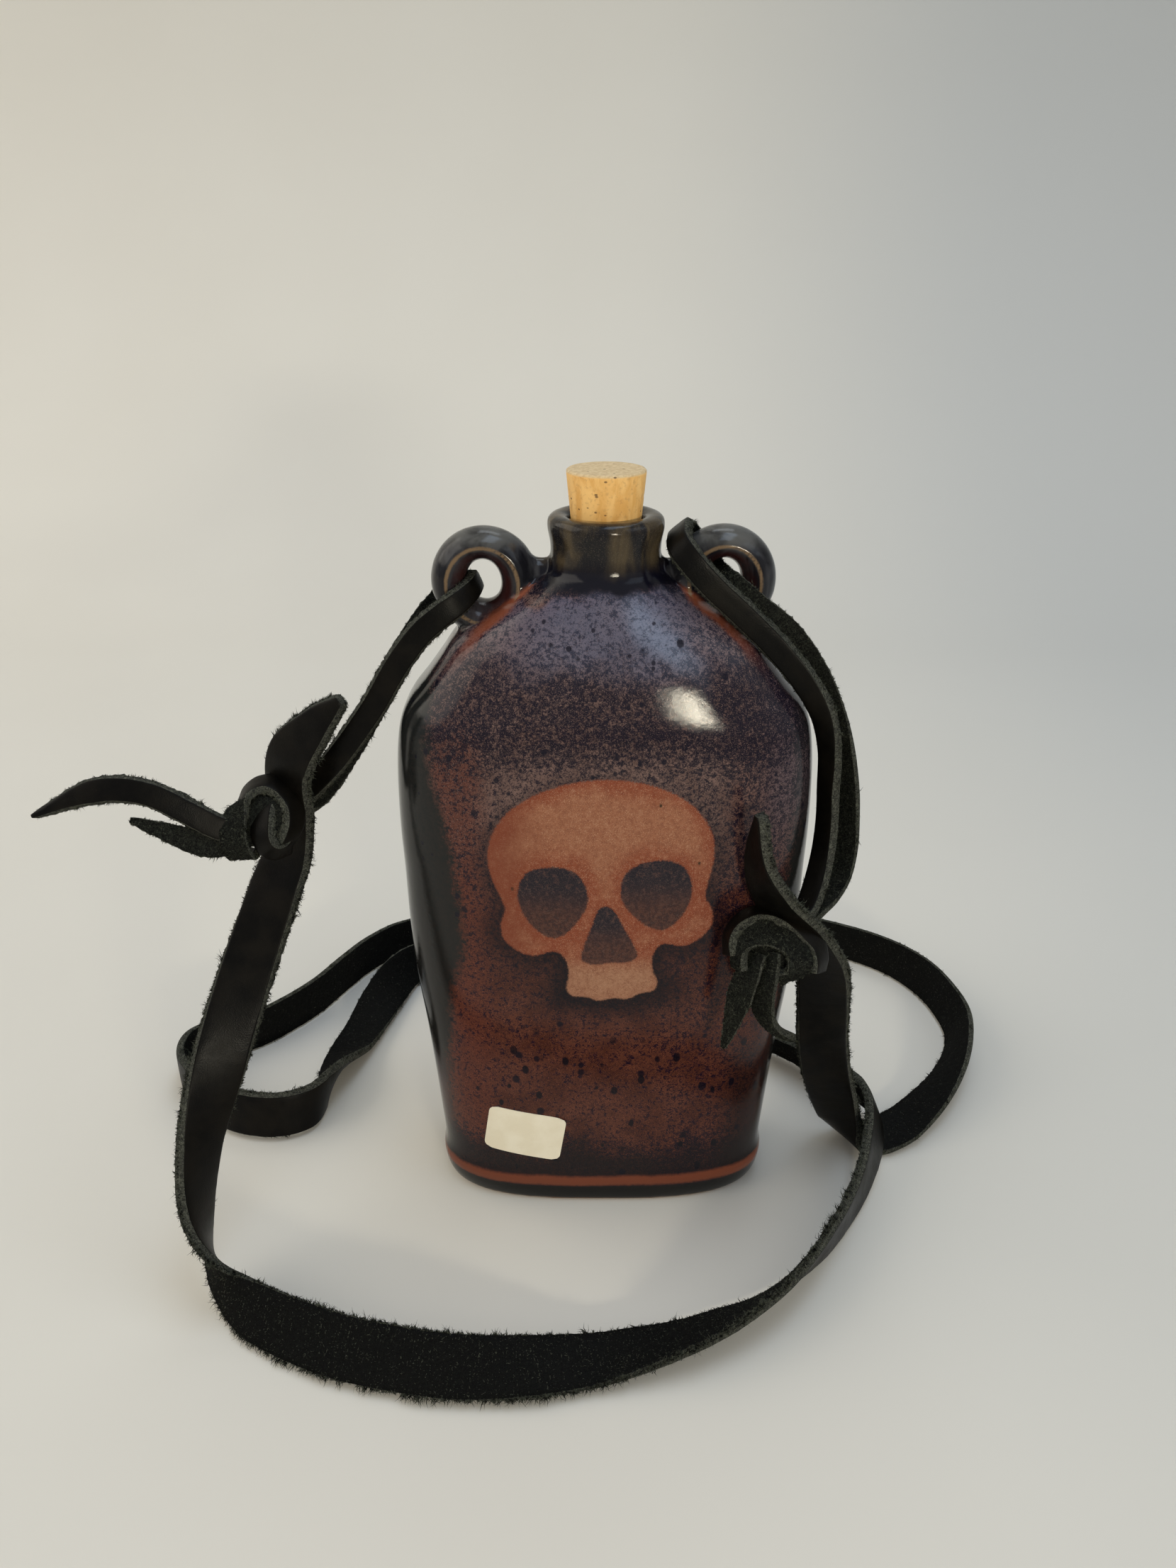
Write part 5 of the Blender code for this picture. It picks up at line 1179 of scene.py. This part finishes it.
def label_skin(skin):
    """Rounded sheet of paper that follows the flask's front, with one corner lifting."""
    tree = BVHTree.FromObject(skin, bpy.context.evaluated_depsgraph_get())
    cols, rows = 34, 26
    near, far = [], []
    for j in range(rows + 1):
        v = (j / rows - 0.5) * LABEL_HEIGHT
        inset = max(0.0, abs(v) - (LABEL_HEIGHT / 2.0 - LABEL_CORNER))
        cut = LABEL_CORNER - math.sqrt(max(0.0, LABEL_CORNER ** 2 - inset ** 2))
        half = LABEL_WIDTH / 2.0 - cut
        for i in range(cols + 1):
            u = (2.0 * i / cols - 1.0) * half
            x = LABEL_AT[0] + u * math.cos(LABEL_TILT) - v * math.sin(LABEL_TILT)
            z = LABEL_AT[1] + u * math.sin(LABEL_TILT) + v * math.cos(LABEL_TILT)
            hit = tree.ray_cast(Vector((x, -0.2, z)), Vector((0.0, 1.0, 0.0)))[0]
            curl = max(0.0, u / half) ** 6 * max(0.0, 2 * v / LABEL_HEIGHT) ** 2
            y = hit.y - LABEL_GAP - LABEL_CURL * curl
            near.append((x, y - LABEL_THICK, z))
            far.append((x, y, z))
    wide, total = cols + 1, len(near)
    quads = []
    for a in (j * wide + i for j in range(rows) for i in range(cols)):
        quads.append((a, a + 1, a + 1 + wide, a + wide))
        quads.append((total + a, total + a + wide, total + a + wide + 1, total + a + 1))
    edge = ([i for i in range(wide)] + [j * wide + cols for j in range(1, rows + 1)]
            + [rows * wide + i for i in range(cols - 1, -1, -1)]
            + [j * wide for j in range(rows - 1, 0, -1)])
    quads += [(a, b, total + b, total + a) for a, b in zip(edge, edge[1:] + edge[:1])]
    return near + far, quads


def paper_material():
    """Cream paper with faint fibres."""
    g = Graph("label_paper_face")
    fibre = g.noise(1300.0, 3.0, 0.6)
    broad = g.span(g.noise(140.0, 2.0, 0.5), 0.3, 0.7)
    tone = g.mix(broad, (0.78, 0.71, 0.55), (0.84, 0.78, 0.63))
    tone = g.over(tone, (0.70, 0.62, 0.47), g.span(fibre, 0.5, 0.7), 0.15)
    return g.finish(Base_Color=tone, Roughness=0.62, Normal=g.bump(fibre, 0.12, 0.0001))


label = mesh_object("paper_label", *label_skin(flask), [paper_material()])
label.data.set_sharp_from_angle(angle=math.radians(50))
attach(label, "canteen")
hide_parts("blank_label")

# Floor, backdrop and lights
FLOOR_REACH, SWEEP_AT, SWEEP_RADIUS, BACKDROP_HIGH = 14.0, 0.55, 0.5, 2.6


def stage_sheet():
    """Pale floor that curves up into a backdrop behind."""
    g = Graph("pale_sheet")
    tone = g.mix(g.noise(5.0, 2.0, 0.5), (0.645, 0.615, 0.545), (0.685, 0.66, 0.595))
    # Painted shade: the sheet darkens to the right, where less light falls
    tone = g.over(tone, (0.53, 0.53, 0.505), g.span(g.axis("X"), 0.0, 0.45))
    mat = g.finish(Base_Color=tone, Roughness=0.9)
    rows = [(-FLOOR_REACH, 0.0), (SWEEP_AT, 0.0)]
    rows += [(SWEEP_AT + SWEEP_RADIUS * math.sin(a), SWEEP_RADIUS * (1.0 - math.cos(a)))
             for a in np.linspace(0.1, math.pi / 2, 14)]
    rows += [(SWEEP_AT + SWEEP_RADIUS, BACKDROP_HIGH)]
    verts = [(x, y, z) for y, z in rows for x in (-FLOOR_REACH, FLOOR_REACH)]
    quads = [(2 * i, 2 * i + 1, 2 * i + 3, 2 * i + 2) for i in range(len(rows) - 1)]
    mesh_object("floor", verts, quads, [mat])


def lamp(name, at, aim_z, size, power, colour, spread=180.0):
    """Soft rectangular lamp aimed at a height over the origin, with its spread in degrees."""
    data = bpy.data.lights.new(name, 'AREA')
    data.shape = 'RECTANGLE'
    data.size, data.size_y = size
    data.energy = power
    data.color = colour
    data.spread = math.radians(spread)
    obj = new_object(name, data)
    obj.location = at
    way = Vector((0.0, 0.0, aim_z)) - Vector(at)
    obj.rotation_euler = way.to_track_quat('-Z', 'Y').to_euler()


def light_room():
    """Even light from all sides; seen directly, the room has the far floor's tone."""
    world = bpy.data.worlds.new("soft_room")
    world.use_nodes = True
    tree = world.node_tree
    tone = tree.nodes.new("ShaderNodeBackground")
    tone.inputs["Color"].default_value = (0.285, 0.280, 0.262, 1.0)
    light = tree.nodes["Background"]
    light.inputs["Color"].default_value = (0.95, 0.95, 0.95, 1.0)
    light.inputs["Strength"].default_value = 0.52
    ray = tree.nodes.new("ShaderNodeLightPath")
    both = tree.nodes.new("ShaderNodeMixShader")
    tree.links.new(ray.outputs["Is Camera Ray"], both.inputs[0])
    tree.links.new(light.outputs[0], both.inputs[1])
    tree.links.new(tone.outputs[0], both.inputs[2])
    tree.links.new(both.outputs[0], tree.nodes["World Output"].inputs["Surface"])
    bpy.context.scene.world = world


stage_sheet()
lamp("window", (0.34, -1.05, 0.31), 0.16, (0.20, 0.060), 1.05, (1.0, 0.92, 0.73), 90.0)
lamp("left_soft", (-1.6, 0.10, 1.15), 0.10, (2.4, 1.4), 18.5, (1.0, 0.93, 0.82))
lamp("right_soft", (1.4, -0.6, 1.3), 0.10, (1.1, 1.0), 3.0, (0.70, 0.84, 1.0))
lamp("top_soft", (0.20, -0.05, 1.5), 0.15, (1.0, 0.45), 5.2, (0.62, 0.78, 1.0))
lamp("back_soft", (0.10, 0.9, 1.5), 0.15, (0.7, 0.35), 2.0, (0.88, 0.94, 1.0))
light_room()
bpy.context.scene.view_settings.view_transform = 'Standard'
